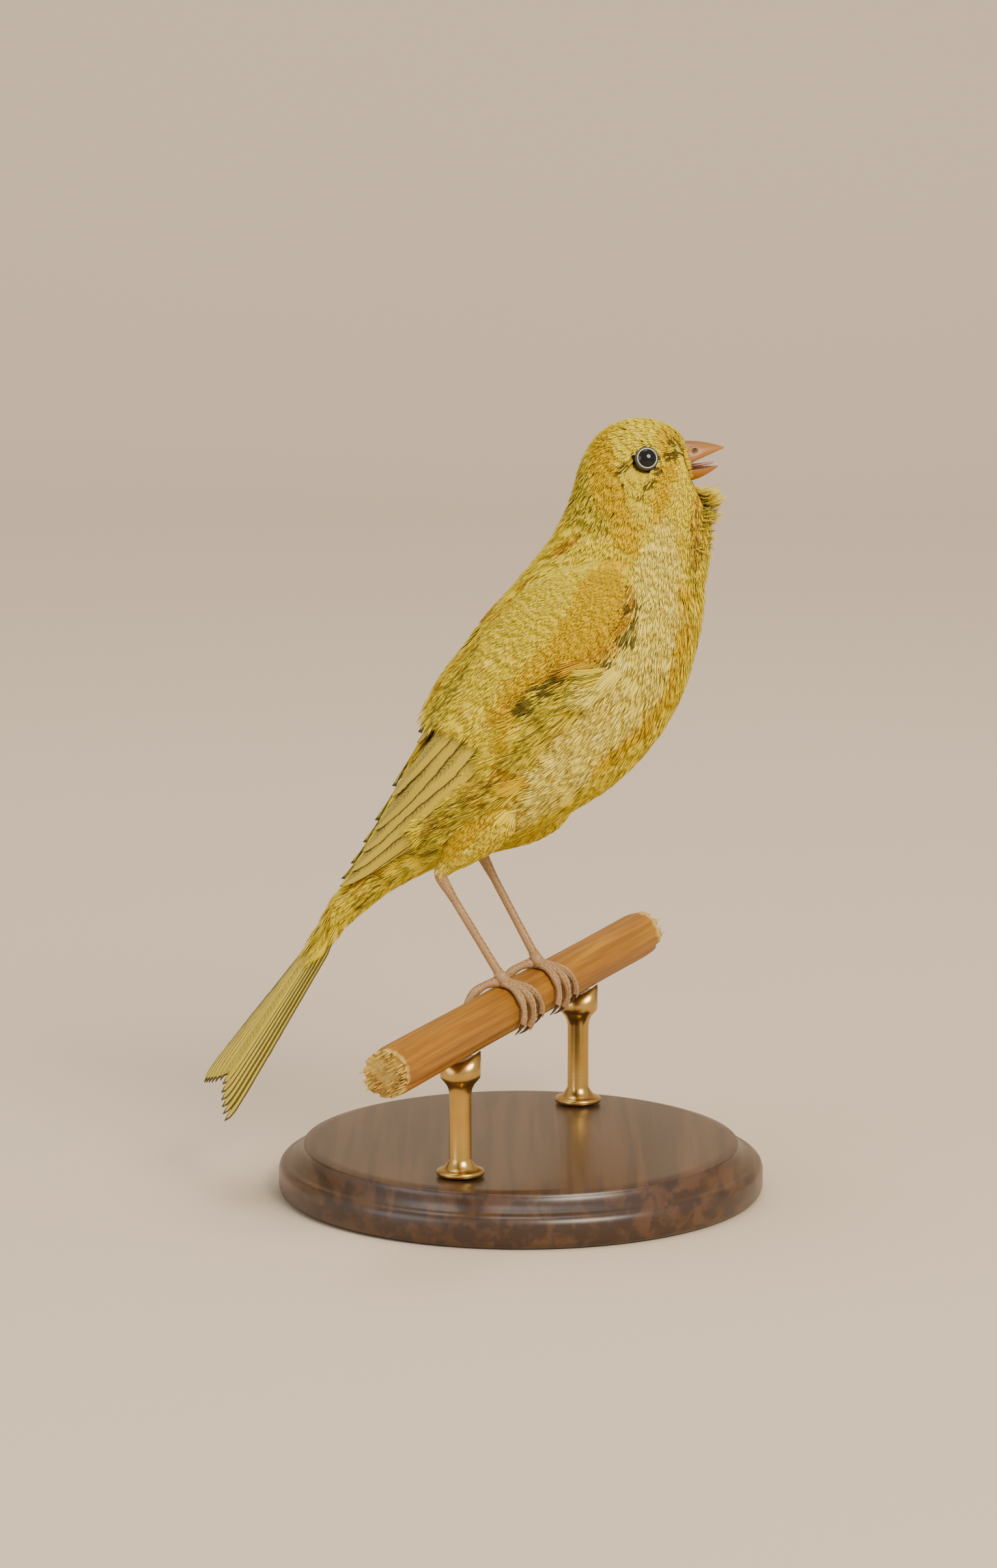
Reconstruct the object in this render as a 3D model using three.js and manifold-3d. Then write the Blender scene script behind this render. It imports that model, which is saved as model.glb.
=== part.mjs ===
// A life-size canary in full song, gripping a short cut length of round perch on a plain
// display stand. Millimetres, +Z up. The bird faces +X and its left side is +Y. The origin is
// the centre of the base's underside, and the bird is placed from the perch's axis.
import * as THREE from "three";
import { mergeVertices } from "three/addons/utils/BufferGeometryUtils.js";
import Module from "manifold-3d";

const wasm = await Module();
wasm.setup();

// Driving sizes of the stand and the perch
const GAP = 0.3; // between pieces that touch
const CURVE_GAP = 0.45; // between a thigh and the curved skin beside it
const BASE_RADIUS = 40;
const BASE_HEIGHT = 8.5;
const ROD_RADIUS = 1.8;
const ROD_SPREAD = 27; // each rod from the middle of the perch
const PERCH_HEIGHT = 32; // the perch's axis above the floor
const PERCH_RADIUS = 3.95;
const PERCH_LENGTH = 118;
const PERCH_YAW = 21.3; // degrees from straight across the bird
const ROUND = 28; // sides of a round piece

// Driving sizes of the bird
const FOOT_PLACES = { right: -9.5, left: 6.5 }; // along the perch, from its middle
const TARSUS_LENGTH = 19.8;
const EYE_RADIUS = 2.3;
const EYE_BULGE = 0.85; // how far the eyeball stands out of the head
const BILL_LENGTH = 5.8;
const TAIL_ANGLE = 56; // degrees below level
const TAIL_ROLL = 18; // its right edge is the lower one
const TAIL_LENGTHS = [32.5, 37]; // of the middle and the outer feathers, past the rump
const TAIL_FEATHERS = 12;
const VANE = 0.5; // how thick a feather is

// The plumage's outline, from the bill's base to the tail's root. Each station is the plane
// through a point of the back and the point of the breast opposite it, both [x, z] from the
// perch's axis, with half the width there. Skew makes the back side wider than the breast side.
const STATIONS = [
  { name: "bill base", back: [26.4, 92.5], breast: [26.6, 85.8], half: 3.4, skew: 0 },
  { name: "forehead", back: [24.7, 94.4], breast: [28.0, 84.0], half: 4.5, skew: 0.1 },
  { name: "fore crown", back: [21.8, 95.7], breast: [29.4, 82.2], half: 5.5, skew: 0.16 },
  { name: "crown", back: [18.2, 96.0], breast: [30.2, 80.0], half: 6.5, skew: 0.2 },
  { name: "hind crown", back: [14.6, 94.9], breast: [30.4, 77.5], half: 7.4, skew: 0.2 },
  { name: "occiput", back: [11.4, 92.2], breast: [30.2, 74.7], half: 8.3, skew: 0.14 },
  { name: "nape", back: [9.3, 88.0], breast: [29.8, 71.6], half: 9.1, skew: 0.05 },
  { name: "hind neck", back: [7.7, 82.5], breast: [29.3, 68.1], half: 10.4, skew: -0.03 },
  { name: "neck base", back: [4.9, 76.6], breast: [29.0, 63.7], half: 12.3, skew: -0.06 },
  { name: "mantle", back: [0.2, 70.6], breast: [28.2, 58.1], half: 14.8, skew: -0.06 },
  { name: "shoulder", back: [-5.2, 63.7], breast: [26.2, 51.3], half: 16.6, skew: -0.04 },
  { name: "back", back: [-10.2, 55.5], breast: [22.0, 43.8], half: 17.3, skew: 0 },
  { name: "lower back", back: [-14.8, 46.6], breast: [15.0, 36.4], half: 16.6, skew: 0 },
  { name: "flank", back: [-18.9, 38.2], breast: [5.4, 30.4], half: 14.3, skew: 0 },
  { name: "rump", back: [-22.6, 30.8], breast: [-5.0, 25.7], half: 11.0, skew: 0 },
  { name: "vent", back: [-26.0, 24.7], breast: [-13.9, 22.5], half: 8.0, skew: 0 },
  { name: "tail coverts", back: [-29.0, 19.8], breast: [-21.2, 18.5], half: 6.0, skew: 0 },
  { name: "tail root", back: [-31.9, 15.6], breast: [-27.2, 13.6], half: 4.8, skew: 0 },
];
const SQUARENESS = 2.25; // 2 would make each station an ellipse
const AROUND = 24; // points round a station
const RING_STEP = 0.45; // of a station, from one ring to the next
const TAIL_END = STATIONS.length - 1;
const CUTS = { head: 0, neck: 5.5, torso: 8.25, rump: 13.25, tail: TAIL_END };

// The folded wing's shoulder, a soft pad: a place along the body, then its upper and lower edge
// in degrees from the middle of the back, and how thick it is in the middle.
const SHOULDER_ROWS = [
  [7.75, 84, 90, 0.7],
  [8.15, 62, 95, 1.3],
  [8.7, 42, 98, 1.9],
  [9.25, 30, 98, 2.0],
  [9.85, 23, 91, 1.7],
  [10.5, 19, 79, 1.3],
  [11.2, 16, 73, 0.9],
  [11.8, 20, 68, 0.6],
];
const SHOULDER_ACROSS = 8;
const WING_CLEARANCE = 0.5; // under the wing
const WING_INNER_EDGE = 2.6; // degrees from the middle of the back that each wing keeps off

// The tips of the flight feathers, from the innermost tertial to the outermost primary: a place
// along the body and degrees from the middle of the back.
const FLIGHT_TIPS = [
  [12.5, 9],
  [13.7, 9],
  [14.4, 10],
  [15.0, 11],
  [15.6, 14],
  [16.15, 23],
  [15.9, 40],
  [15.2, 56],
];

// Rows of coverts over their roots. Each row runs from its innermost to its outermost feather.
const COVERTS = [
  { count: 6, from: [9.9, 32], to: [9.7, 86], reach: [2.2, 1.7], sweep: [9, 13], half: 2.4, low: 1.1 },
  { count: 5, from: [8.9, 46], to: [8.9, 89], reach: [1.75, 1.35], sweep: [7, 8], half: 2.5, low: 1.5 },
  { count: 3, from: [8.5, 46], to: [9.7, 26], reach: [1.9, 2.3], sweep: [17, 14], half: 2.6, low: 1.15 },
];

// Rows of ruffled feathers down the throat: a place along the body, how many, how far each side
// of the middle they spread in degrees, and how far their tips stand out.
const RUFFLES = {
  head: [[4.2, 5, 48, 1.2]],
  neck: [
    [5.7, 6, 50, 1.1],
    [6.6, 5, 46, 0.9],
  ],
};

// Rows of feathers that the song raises under the bill, so that they point forward: a place along
// the body, how many, how far they spread, how long they are and how far their tips turn up.
const RAISED = [
  [1.35, 3, 22, 3.6, 0.9],
  [2.15, 4, 34, 4.0, 1.3],
  [3.25, 5, 46, 3.1, 0.2],
];

const finish = (color, roughness, metalness = 0) =>
  new THREE.MeshStandardMaterial({ color, roughness, metalness });
const CROWN_YELLOW = finish("#ead668", 0.9);
const NECK_YELLOW = finish("#e9cf4c", 0.9);
const BREAST_CREAM = finish("#efe3a0", 0.9);
const RUMP_YELLOW = finish("#e6d061", 0.9);
const WING_GOLD = finish("#e3bf3a", 0.85);
const TAIL_OLIVE = finish("#d9cc6c", 0.85);
const BILL_HORN = finish("#dd9a68", 0.45);
const TONGUE_PINK = finish("#d98d80", 0.4);
const LEG_SKIN = finish("#d9a982", 0.55);
const CLAW_HORN = finish("#b98d6c", 0.4);
const EYE_BLACK = finish("#120c08", 0.05);
const PERCH_WOOD = finish("#c58a32", 0.6);
const BASE_WOOD = finish("#4a2f1e", 0.45);
const BRASS = finish("#b08d4a", 0.3, 1);

const radians = THREE.MathUtils.degToRad;
const lerp = THREE.MathUtils.lerp;
const v3 = (x, y, z) => new THREE.Vector3(x, y, z);
const mirrored = (point, side) => v3(point.x, point.y * side, point.z);

// A closed skin over a row of rings that have as many points each. The two halves of a ring are
// split along like diagonals, so that a thin curved form keeps its thickness.
function loft(rings) {
  const count = rings[0].length;
  const points = rings.flat();
  const faces = [];
  for (let r = 0; r + 1 < rings.length; r++) {
    for (let j = 0; j < count; j++) {
      const a = r * count + j;
      const b = r * count + ((j + 1) % count);
      const c = a + count;
      const d = b + count;
      if (j < count / 2) {
        faces.push([a, b, d], [a, d, c]);
      } else {
        faces.push([a, b, c], [b, d, c]);
      }
    }
  }
  for (const [ring, first, turn] of [[rings[0], 0, 1], [rings.at(-1), (rings.length - 1) * count, -1]]) {
    const middle = points.length;
    points.push(ring.reduce((sum, p) => sum.add(p), v3(0, 0, 0)).divideScalar(count));
    for (let j = 0; j < count; j++) {
      const pair = [first + j, first + ((j + 1) % count)];
      faces.push(turn > 0 ? [middle, pair[1], pair[0]] : [middle, pair[0], pair[1]]);
    }
  }
  const geometry = new THREE.BufferGeometry();
  const positions = points.flatMap((p) => p.toArray());
  geometry.setAttribute("position", new THREE.Float32BufferAttribute(positions, 3));
  geometry.setIndex(faces.flat());
  return geometry;
}

function signedVolume(positions, index) {
  const [a, b, c] = [v3(0, 0, 0), v3(0, 0, 0), v3(0, 0, 0)];
  let volume = 0;
  for (let i = 0; i < index.length; i += 3) {
    a.fromArray(positions, 3 * index[i]);
    b.fromArray(positions, 3 * index[i + 1]);
    c.fromArray(positions, 3 * index[i + 2]);
    volume += a.dot(b.cross(c)) / 6;
  }
  return volume;
}

// A geometry as a solid with its faces pointing out
function solid(geometry) {
  const bare = geometry.clone();
  bare.deleteAttribute("normal");
  bare.deleteAttribute("uv");
  const merged = mergeVertices(bare, 1e-4);
  const vertProperties = new Float32Array(merged.attributes.position.array);
  const triVerts = new Uint32Array(merged.index.array);
  if (signedVolume(vertProperties, triVerts) < 0) {
    for (let i = 0; i < triVerts.length; i += 3) {
      [triVerts[i + 1], triVerts[i + 2]] = [triVerts[i + 2], triVerts[i + 1]];
    }
  }
  return new wasm.Manifold(new wasm.Mesh({ numProp: 3, vertProperties, triVerts }));
}

const joined = (solids) => solids.reduce((sum, next) => sum.add(next));

// The largest closed surface of a solid, as a named mesh
function piece(name, body, material) {
  const largest = body.decompose().reduce((best, next) => (next.volume() > best.volume() ? next : best));
  const { vertProperties, triVerts } = largest.getMesh();
  const geometry = new THREE.BufferGeometry();
  geometry.setAttribute("position", new THREE.BufferAttribute(new Float32Array(vertProperties), 3));
  geometry.setIndex(new THREE.BufferAttribute(new Uint32Array(triVerts), 1));
  const mesh = new THREE.Mesh(geometry, material);
  mesh.name = name;
  return mesh;
}

// The outline between stations, on a smooth curve through them
function outlineAt(u) {
  const i = Math.min(Math.floor(u), TAIL_END - 1);
  const t = u - i;
  const read = (s) => [...s.back, ...s.breast, s.half, s.skew];
  const p1 = read(STATIONS[i]);
  const p2 = read(STATIONS[i + 1]);
  const p0 = i > 0 ? read(STATIONS[i - 1]) : p1.map((v, k) => 2 * v - p2[k]);
  const p3 = i + 2 <= TAIL_END ? read(STATIONS[i + 2]) : p2.map((v, k) => 2 * v - p1[k]);
  return p1.map((v, k) => {
    const slope = p2[k] - p0[k];
    const bend = 2 * p0[k] - 5 * v + 4 * p2[k] - p3[k];
    const twist = 3 * v - p0[k] - 3 * p2[k] + p3[k];
    return 0.5 * (2 * v + slope * t + bend * t * t + twist * t ** 3);
  });
}

// A point of the plumage: u runs along the stations, and the angle goes from the middle of the
// back, 0, over the left side, 90, to the middle of the breast, 180.
function bodyPoint(u, angle, lift = 0) {
  const [backX, backZ, breastX, breastZ, half, skew] = outlineAt(u);
  const high = Math.hypot(backX - breastX, backZ - breastZ) / 2;
  const round = (v) => Math.sign(v) * Math.abs(v) ** (2 / SQUARENESS);
  const up = round(Math.cos(radians(angle)));
  const out = round(Math.sin(radians(angle)));
  const reach = ((high + lift) * up) / (2 * high);
  return v3(
    (backX + breastX) / 2 + (backX - breastX) * reach,
    (half + lift) * out * (1 + skew * up),
    (backZ + breastZ) / 2 + (backZ - breastZ) * reach,
  );
}

const bodyRing = (u, lift = 0) =>
  Array.from({ length: AROUND }, (_, j) => bodyPoint(u, (360 * j) / AROUND, lift));

// The way along the body, square to the station at u
function bodyAxis(u) {
  const across = bodyPoint(u, 0).sub(bodyPoint(u, 180));
  const axis = across.cross(v3(0, 1, 0)).normalize();
  const ahead = bodyPoint(Math.min(u + 0.5, TAIL_END), 90).sub(bodyPoint(Math.max(u - 0.5, 0), 90));
  return axis.multiplyScalar(Math.sign(axis.dot(ahead)));
}

// The surface at a place of the left side: the point and the way straight out of it
function bodySurface(u, angle) {
  const along = bodyPoint(u + 0.05, angle).sub(bodyPoint(u - 0.05, angle));
  const round = bodyPoint(u, angle + 2).sub(bodyPoint(u, angle - 2));
  const out = along.cross(round).normalize();
  const point = bodyPoint(u, angle);
  return { point, out: out.multiplyScalar(Math.sign(out.y)) };
}

// A length of the body. It starts a gap past its cut and ends at the next one.
function bodyLength(from, to, lift = 0) {
  const steps = Math.round((to - from) / RING_STEP);
  const rings = Array.from({ length: steps + 1 }, (_, i) => bodyRing(lerp(from, to, i / steps), lift));
  if (from > 0) {
    rings[0].forEach((p) => p.addScaledVector(bodyAxis(from), GAP));
  }
  return loft(rings);
}

// A feather that lies over the plumage on the left side. Its path is a row of [u, angle] stops
// from root to tip. Its inner edge is low and its outer edge rises over the feather next to it.
function skinVane({ path, half, low, tilt = 0, tip = 0.2, keepOff = -360, cuts }) {
  const curve = new THREE.SplineCurve(path.map(([u, angle]) => new THREE.Vector2(u, angle / 10)));
  const rings = cuts.map((t) => {
    const { x: u, y } = curve.getPoint(t);
    const angle = 10 * y;
    const along = bodyPoint(u + 0.05, angle).sub(bodyPoint(u - 0.05, angle)).multiplyScalar(10);
    const round = bodyPoint(u, angle + 2).sub(bodyPoint(u, angle - 2)).multiplyScalar(0.25);
    const heading = curve.getTangent(t);
    const way = along.clone().multiplyScalar(heading.x).addScaledVector(round, 10 * heading.y);
    const across = along.clone().cross(round).cross(way).normalize();
    const turn = across.dot(round) > 0 ? 1 : -1;
    const [aa, ar, rr] = [along.dot(along), along.dot(round), round.dot(round)];
    const [pa, pr] = [across.dot(along) * turn, across.dot(round) * turn];
    const scale = aa * rr - ar * ar;
    const step = { u: (pa * rr - pr * ar) / scale, angle: (pr * aa - pa * ar) / scale };
    const end = Math.max(0, (t - (1 - tip)) / tip);
    const width = half * Math.min(1, 0.55 + 1.6 * t) * Math.sqrt(1 - 0.985 * end * end);
    const lift = typeof low === "function" ? low(t) : low;
    const at = (w, up) => bodyPoint(u + w * step.u, Math.max(angle + w * step.angle, keepOff), up);
    const rise = tilt * (1 - 0.4 * end);
    return [
      at(-width, lift + VANE),
      at(width, lift + rise + VANE),
      at(width, lift + rise),
      at(-width, lift),
    ];
  });
  return solid(loft(rings));
}

// A round limb along a path. Each stop is [point, radius, how far its front is raised], and the
// ends are flat and square.
function limb(stops, sides = 8) {
  const rings = stops.map(([point, radius, raised = 0], i) => {
    const before = stops[Math.max(i - 1, 0)][0];
    const after = stops[Math.min(i + 1, stops.length - 1)][0];
    const along = after.clone().sub(before).normalize();
    const first = v3(0, 1, 0).cross(along).normalize();
    const second = along.clone().cross(first);
    return Array.from({ length: sides }, (_, j) => {
      const turn = (2 * Math.PI * j) / sides;
      const reach = radius + raised * Math.max(0, Math.cos(turn)) ** 0.7;
      return point
        .clone()
        .addScaledVector(first, reach * Math.cos(turn))
        .addScaledVector(second, reach * Math.sin(turn));
    });
  });
  return loft(rings);
}

function ball(point, radii, width = 10, height = 8) {
  const geometry = new THREE.SphereGeometry(1, width, height);
  geometry.scale(...radii);
  geometry.translate(...point.toArray());
  return solid(geometry);
}

// A lathe-turned piece that stands up along Z
function turned(profile, sides = ROUND) {
  const outline = profile.map(([r, z]) => new THREE.Vector2(r, z));
  return new THREE.LatheGeometry(outline, sides).rotateX(Math.PI / 2);
}

// The ruffled feathers of one length of the throat, in staggered rows
function ruffles(rows) {
  return rows.flatMap(([u, count, spread, stand], row) =>
    Array.from({ length: count }, (_, j) => {
      const turn = lerp(-spread, spread, count > 1 ? j / (count - 1) : 0.5) + (row % 2) * 3;
      return skinVane({
        path: [[u, 180 + turn], [u + 0.8, 180 + turn * 1.06], [u + 1.6, 180 + turn * 1.12]],
        half: 1.5,
        low: (t) => lerp(-0.6, stand - 0.2, t ** 0.8),
        tip: 0.6,
        cuts: [0, 0.45, 0.8, 1],
      });
    }),
  );
}

// The feathers raised under the bill. Each lies flat across the throat and points forward.
function raisedFeathers() {
  return RAISED.flatMap(([u, count, spread, length, rise], row) =>
    Array.from({ length: count }, (_, j) => {
      const turn = lerp(-spread, spread, j / (count - 1)) + (row % 2) * 4;
      const root = bodyPoint(u, 180 + turn, -1);
      const ahead = v3(Math.cos(radians(turn)), -Math.sin(radians(turn)), 0);
      const across = v3(-ahead.y, ahead.x, 0);
      const rings = [0, 0.5, 0.8, 1].map((t) => {
        const half = 1.5 * Math.sqrt(1 - 0.97 * Math.max(0, (t - 0.4) / 0.6) ** 2);
        const middle = root.clone().addScaledVector(ahead, length * t);
        middle.z += rise * t * t - 0.35 * Math.sin(Math.PI * t);
        const at = (w, up) => middle.clone().addScaledVector(across, w * half).add(v3(0, 0, up));
        return [at(-1, VANE / 2), at(1, VANE / 2), at(1, -VANE / 2), at(-1, -VANE / 2)];
      });
      return solid(loft(rings));
    }),
  );
}

// Head: the loft with the eyes' sockets, a ring of lid round each eye, and the cut of the mouth
const EYE_PLACE = { u: 3.7, angle: 69 };
const LID_RING = { radius: 1.85, thickness: 0.42 };
const MOUTH = { corner: 25.2, low: 87.95, high: 88.65, half: 4 };
const THROAT_HOLLOW = { back: 24.6, low: 87.95, high: 89.6, half: 1.7 };

const eyeSurface = bodySurface(EYE_PLACE.u, EYE_PLACE.angle);
const eyeCentre = eyeSurface.point.clone().addScaledVector(eyeSurface.out, EYE_BULGE - EYE_RADIUS);

function lid(side) {
  const ring = new THREE.TorusGeometry(LID_RING.radius, LID_RING.thickness, 6, 14);
  const out = mirrored(eyeSurface.out, side);
  ring.applyQuaternion(new THREE.Quaternion().setFromUnitVectors(v3(0, 0, 1), out));
  ring.translate(...mirrored(eyeSurface.point, side).addScaledVector(out, 0.12).toArray());
  return solid(ring);
}

// A slab across the head, from an outline in [x, z]
function slab(outline, half) {
  const ring = (y) => outline.map(([x, z]) => v3(x, y, z));
  return solid(loft([ring(-half), ring(half)]));
}

function headSolid() {
  const front = STATIONS[0].back[0] + 1;
  let body = solid(bodyLength(CUTS.head, CUTS.neck)).add(lid(1)).add(lid(-1));
  for (const side of [1, -1]) {
    const reach = EYE_RADIUS + GAP;
    body = body.subtract(ball(mirrored(eyeCentre, side), [reach, reach, reach], 14, 10));
  }
  const mouth = [
    [MOUTH.corner, (MOUTH.low + MOUTH.high) / 2],
    [front, MOUTH.low],
    [front, MOUTH.high + 0.2],
  ];
  const hollow = [
    [THROAT_HOLLOW.back, THROAT_HOLLOW.low],
    [front, THROAT_HOLLOW.low],
    [front, THROAT_HOLLOW.high],
    [THROAT_HOLLOW.back, THROAT_HOLLOW.high],
  ];
  body = body.subtract(slab(mouth, MOUTH.half)).subtract(slab(hollow, THROAT_HOLLOW.half));
  return joined([body, ...raisedFeathers(), ...ruffles(RUFFLES.head)]);
}

// Bill: two horny halves, each a row of arched sections that shrink to the tip
const BILL_BASE = STATIONS[0].back[0] + 0.15 + GAP;
const NOSTRIL = { x: 27.9, y: 2.4, z: 91.0, radii: [0.5, 0.4, 0.36] };

// A half of the bill. Its outer side is an arch over the edge line, and its inner side hollow.
function billHalf({ length, half, edge, ridge, hollow }) {
  const steps = 6;
  const rings = [];
  for (let i = 0; i <= steps; i++) {
    const t = i / steps;
    const width = half * (1 - t ** 1.35) + 0.12;
    const edgeZ = edge(t);
    const ridgeZ = ridge(t);
    const x = BILL_BASE + length * t;
    const arch = [180, 150, 120, 90, 60, 30, 0].map((angle) => {
      const c = Math.cos(radians(angle));
      const s = Math.sin(radians(angle));
      return v3(x, width * Math.sign(c) * Math.abs(c) ** 0.9, edgeZ + (ridgeZ - edgeZ) * s ** 0.85);
    });
    const inside = [0.5, 0, -0.5].map((k) =>
      v3(x, width * k, edgeZ + (ridgeZ - edgeZ) * hollow * (1 - t) * (1 - 2 * k * k)),
    );
    rings.push([...arch, ...inside]);
  }
  return solid(loft(rings));
}

function upperBill() {
  const body = billHalf({
    length: BILL_LENGTH,
    half: 3.1,
    edge: (t) => 88.75 + 2.35 * t ** 1.1,
    ridge: (t) => 92.3 - 0.95 * t * t,
    hollow: 0.35,
  });
  const nostril = (side) => ball(v3(NOSTRIL.x, side * NOSTRIL.y, NOSTRIL.z), NOSTRIL.radii, 8, 6);
  return body.subtract(nostril(1)).subtract(nostril(-1));
}

function lowerBill() {
  return billHalf({
    length: BILL_LENGTH - 0.9,
    half: 2.9,
    edge: (t) => 87.85 + 0.4 * t,
    ridge: (t) => 85.85 + 2.25 * t ** 1.7,
    hollow: 0.3,
  });
}

function tongue() {
  const stops = 6;
  const rings = Array.from({ length: stops + 1 }, (_, i) => {
    const t = i / stops;
    const x = lerp(THROAT_HOLLOW.back + GAP, 31, t);
    const z = 88.6 + 1.5 * t - 0.35 * t * t;
    const wide = lerp(1.15, 0.45, t);
    const thick = lerp(0.32, 0.2, t);
    return Array.from({ length: 8 }, (_unused, j) => {
      const turn = (Math.PI * j) / 4;
      return v3(x, wide * Math.cos(turn), z + thick * Math.sin(turn));
    });
  });
  return solid(loft(rings));
}

// The shoulder pad that the wing's feathers grow from, on the left side
function shoulder() {
  const rings = SHOULDER_ROWS.map(([u, upper, lower, thick]) => {
    const at = (k, lift) => bodyPoint(u, lerp(upper, lower, k), lift);
    const steps = Array.from({ length: SHOULDER_ACROSS + 1 }, (_, j) => j / SHOULDER_ACROSS);
    const arch = (k) => WING_CLEARANCE + VANE + (thick - VANE) * Math.sin(Math.PI * k) ** 0.5;
    const top = steps.map((k) => at(k, arch(k)));
    const under = steps.toReversed().map((k) => at(k, WING_CLEARANCE));
    return [...top, ...under];
  });
  return solid(loft(rings));
}

// The flight feathers fan out from the hand, and each lies over the next one out.
function flightFeathers() {
  const last = FLIGHT_TIPS.length - 1;
  return FLIGHT_TIPS.map(([tipU, tipAngle], i) => {
    const k = i / last;
    const root = [lerp(9.8, 10.9, k), 76 - 42 * (1 - k) ** 1.9];
    const bend = lerp(1.8, 3.4, k);
    const path = [0.1, 0.45, 0.7, 0.85, 1].map((t) => [
      lerp(root[0], tipU, t),
      lerp(root[1], tipAngle, t ** bend),
    ]);
    return skinVane({
      path,
      half: lerp(3.0, 2.1, k),
      low: WING_CLEARANCE,
      tilt: 0.6,
      keepOff: WING_INNER_EDGE,
      cuts: [0, 0.25, 0.5, 0.72, 0.9, 1],
    });
  });
}

function coverts() {
  return COVERTS.flatMap(({ count, from, to, reach, sweep, half, low }) =>
    Array.from({ length: count }, (_, i) => {
      const k = i / (count - 1);
      const u = lerp(from[0], to[0], k);
      const angle = lerp(from[1], to[1], k);
      const length = lerp(...reach, k);
      const turn = lerp(...sweep, k);
      return skinVane({
        path: [[u, angle], [u + 0.5 * length, angle - 0.35 * turn], [u + length, angle - turn]],
        half,
        low: (t) => lerp(low - 0.4, low + 0.4, t),
        tilt: 0.4,
        tip: 0.4,
        keepOff: WING_INNER_EDGE,
        cuts: [0, 0.5, 0.85, 1],
      });
    }),
  );
}

function mirroredSolid(body, side) {
  const { vertProperties, triVerts } = body.getMesh();
  const geometry = new THREE.BufferGeometry();
  geometry.setAttribute("position", new THREE.BufferAttribute(new Float32Array(vertProperties), 3));
  geometry.setIndex(new THREE.BufferAttribute(new Uint32Array(triVerts), 1));
  return solid(geometry.scale(1, side, 1));
}

// Tail: the frame that its feathers lie in, from the end of the rump
const tailAlong = v3(-Math.cos(radians(TAIL_ANGLE)), 0, -Math.sin(radians(TAIL_ANGLE)));
const tailStart = bodyPoint(TAIL_END, 0).add(bodyPoint(TAIL_END, 180)).multiplyScalar(0.5);
tailStart.addScaledVector(bodyAxis(TAIL_END), GAP);

// A point of the tail: along it, across it to the left, and up towards its upper side
function tailPoint(along, across, up) {
  const roll = radians(TAIL_ROLL) * Math.min(1, along / 6);
  const left = v3(0, 1, 0).applyAxisAngle(tailAlong, -roll);
  const upper = tailAlong.clone().cross(left).negate();
  return tailStart
    .clone()
    .addScaledVector(tailAlong, along)
    .addScaledVector(left, across)
    .addScaledVector(upper, up);
}

// One tail feather, counted from the middle: its root is sunk in the coverts, its outer edge
// lies over the next one out, and the outer feathers are the longer and the lower ones.
function tailVane(place) {
  const side = Math.sign(place);
  const k = Math.abs(place) / ((TAIL_FEATHERS - 1) / 2);
  const length = lerp(...TAIL_LENGTHS, k ** 0.6);
  const drop = 0.35 - 0.9 * k * k;
  const rings = [0, 0.35, 0.7, 0.9, 1].map((t) => {
    const along = lerp(5, length, t);
    const middle = place * lerp(0.5, 1.45, t ** 1.1);
    const end = Math.max(0, (t - 0.75) / 0.25);
    const half = lerp(1.1, 2.05, Math.min(1, 1.6 * t)) * Math.sqrt(1 - 0.985 * end * end);
    const shape = (w, up) => tailPoint(along, middle + side * w, drop + up);
    return [shape(-half, VANE), shape(half, 2.1 * VANE), shape(half, 1.1 * VANE), shape(-half, 0)];
  });
  return solid(loft(rings));
}

// The coverts over and under the tail's root, as one wedge that thins out along the feathers
function tailCoverts() {
  const first = bodyRing(TAIL_END).map((p) => p.addScaledVector(bodyAxis(TAIL_END), GAP));
  const rows = [
    [3, 4.7, 1.8, 2.2],
    [7, 4.6, 1.3, 1.9],
    [11, 4.2, 0.9, 1.5],
    [15.5, 2.6, 0.7, 1],
  ];
  const rings = rows.map(([along, half, over, under]) =>
    Array.from({ length: AROUND }, (_, j) => {
      const turn = (2 * Math.PI * j) / AROUND;
      const up = Math.cos(turn);
      return tailPoint(along, half * Math.sin(turn), up * (up > 0 ? over : under));
    }),
  );
  return solid(loft([first, ...rings]));
}

function tail() {
  const places = Array.from({ length: TAIL_FEATHERS }, (_, i) => i - (TAIL_FEATHERS - 1) / 2);
  return joined([tailCoverts(), ...places.map(tailVane)]);
}

// A point by the perch: along it, round it in degrees from its top towards the bird's front
function perchPoint(along, around, radius) {
  const front = radius * Math.sin(radians(around));
  const yaw = radians(PERCH_YAW);
  return v3(
    along * Math.sin(yaw) + front * Math.cos(yaw),
    along * Math.cos(yaw) - front * Math.sin(yaw),
    radius * Math.cos(radians(around)),
  );
}

function perchCore(radius) {
  const rod = new THREE.CylinderGeometry(radius, radius, PERCH_LENGTH, ROUND);
  return solid(rod.rotateZ(radians(-PERCH_YAW)));
}

// Legs: each leans back from its foot to the heel, and the feathered thigh goes on forward
const LEGS = {
  right: { side: -1, place: FOOT_PLACES.right, lean: v3(-10.7, -1, 18.2), thigh: v3(0.62, -0.02, 0.78) },
  left: { side: 1, place: FOOT_PLACES.left, lean: v3(-9.1, 2, 17.2), thigh: v3(0.77, 0, 0.64) },
};
const PAD_HEIGHT = 1.5; // the ball of the foot above the perch's surface
const TOES = [
  { name: 1, drift: -3, end: -92, radius: 0.72 },
  { name: 2, drift: -1.6, end: 108, radius: 0.62 },
  { name: 3, drift: 2.8, end: 124, radius: 0.68 },
  { name: 4, drift: 6.6, end: 106, radius: 0.62 },
];
const TOE_STOPS = 5;

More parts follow.
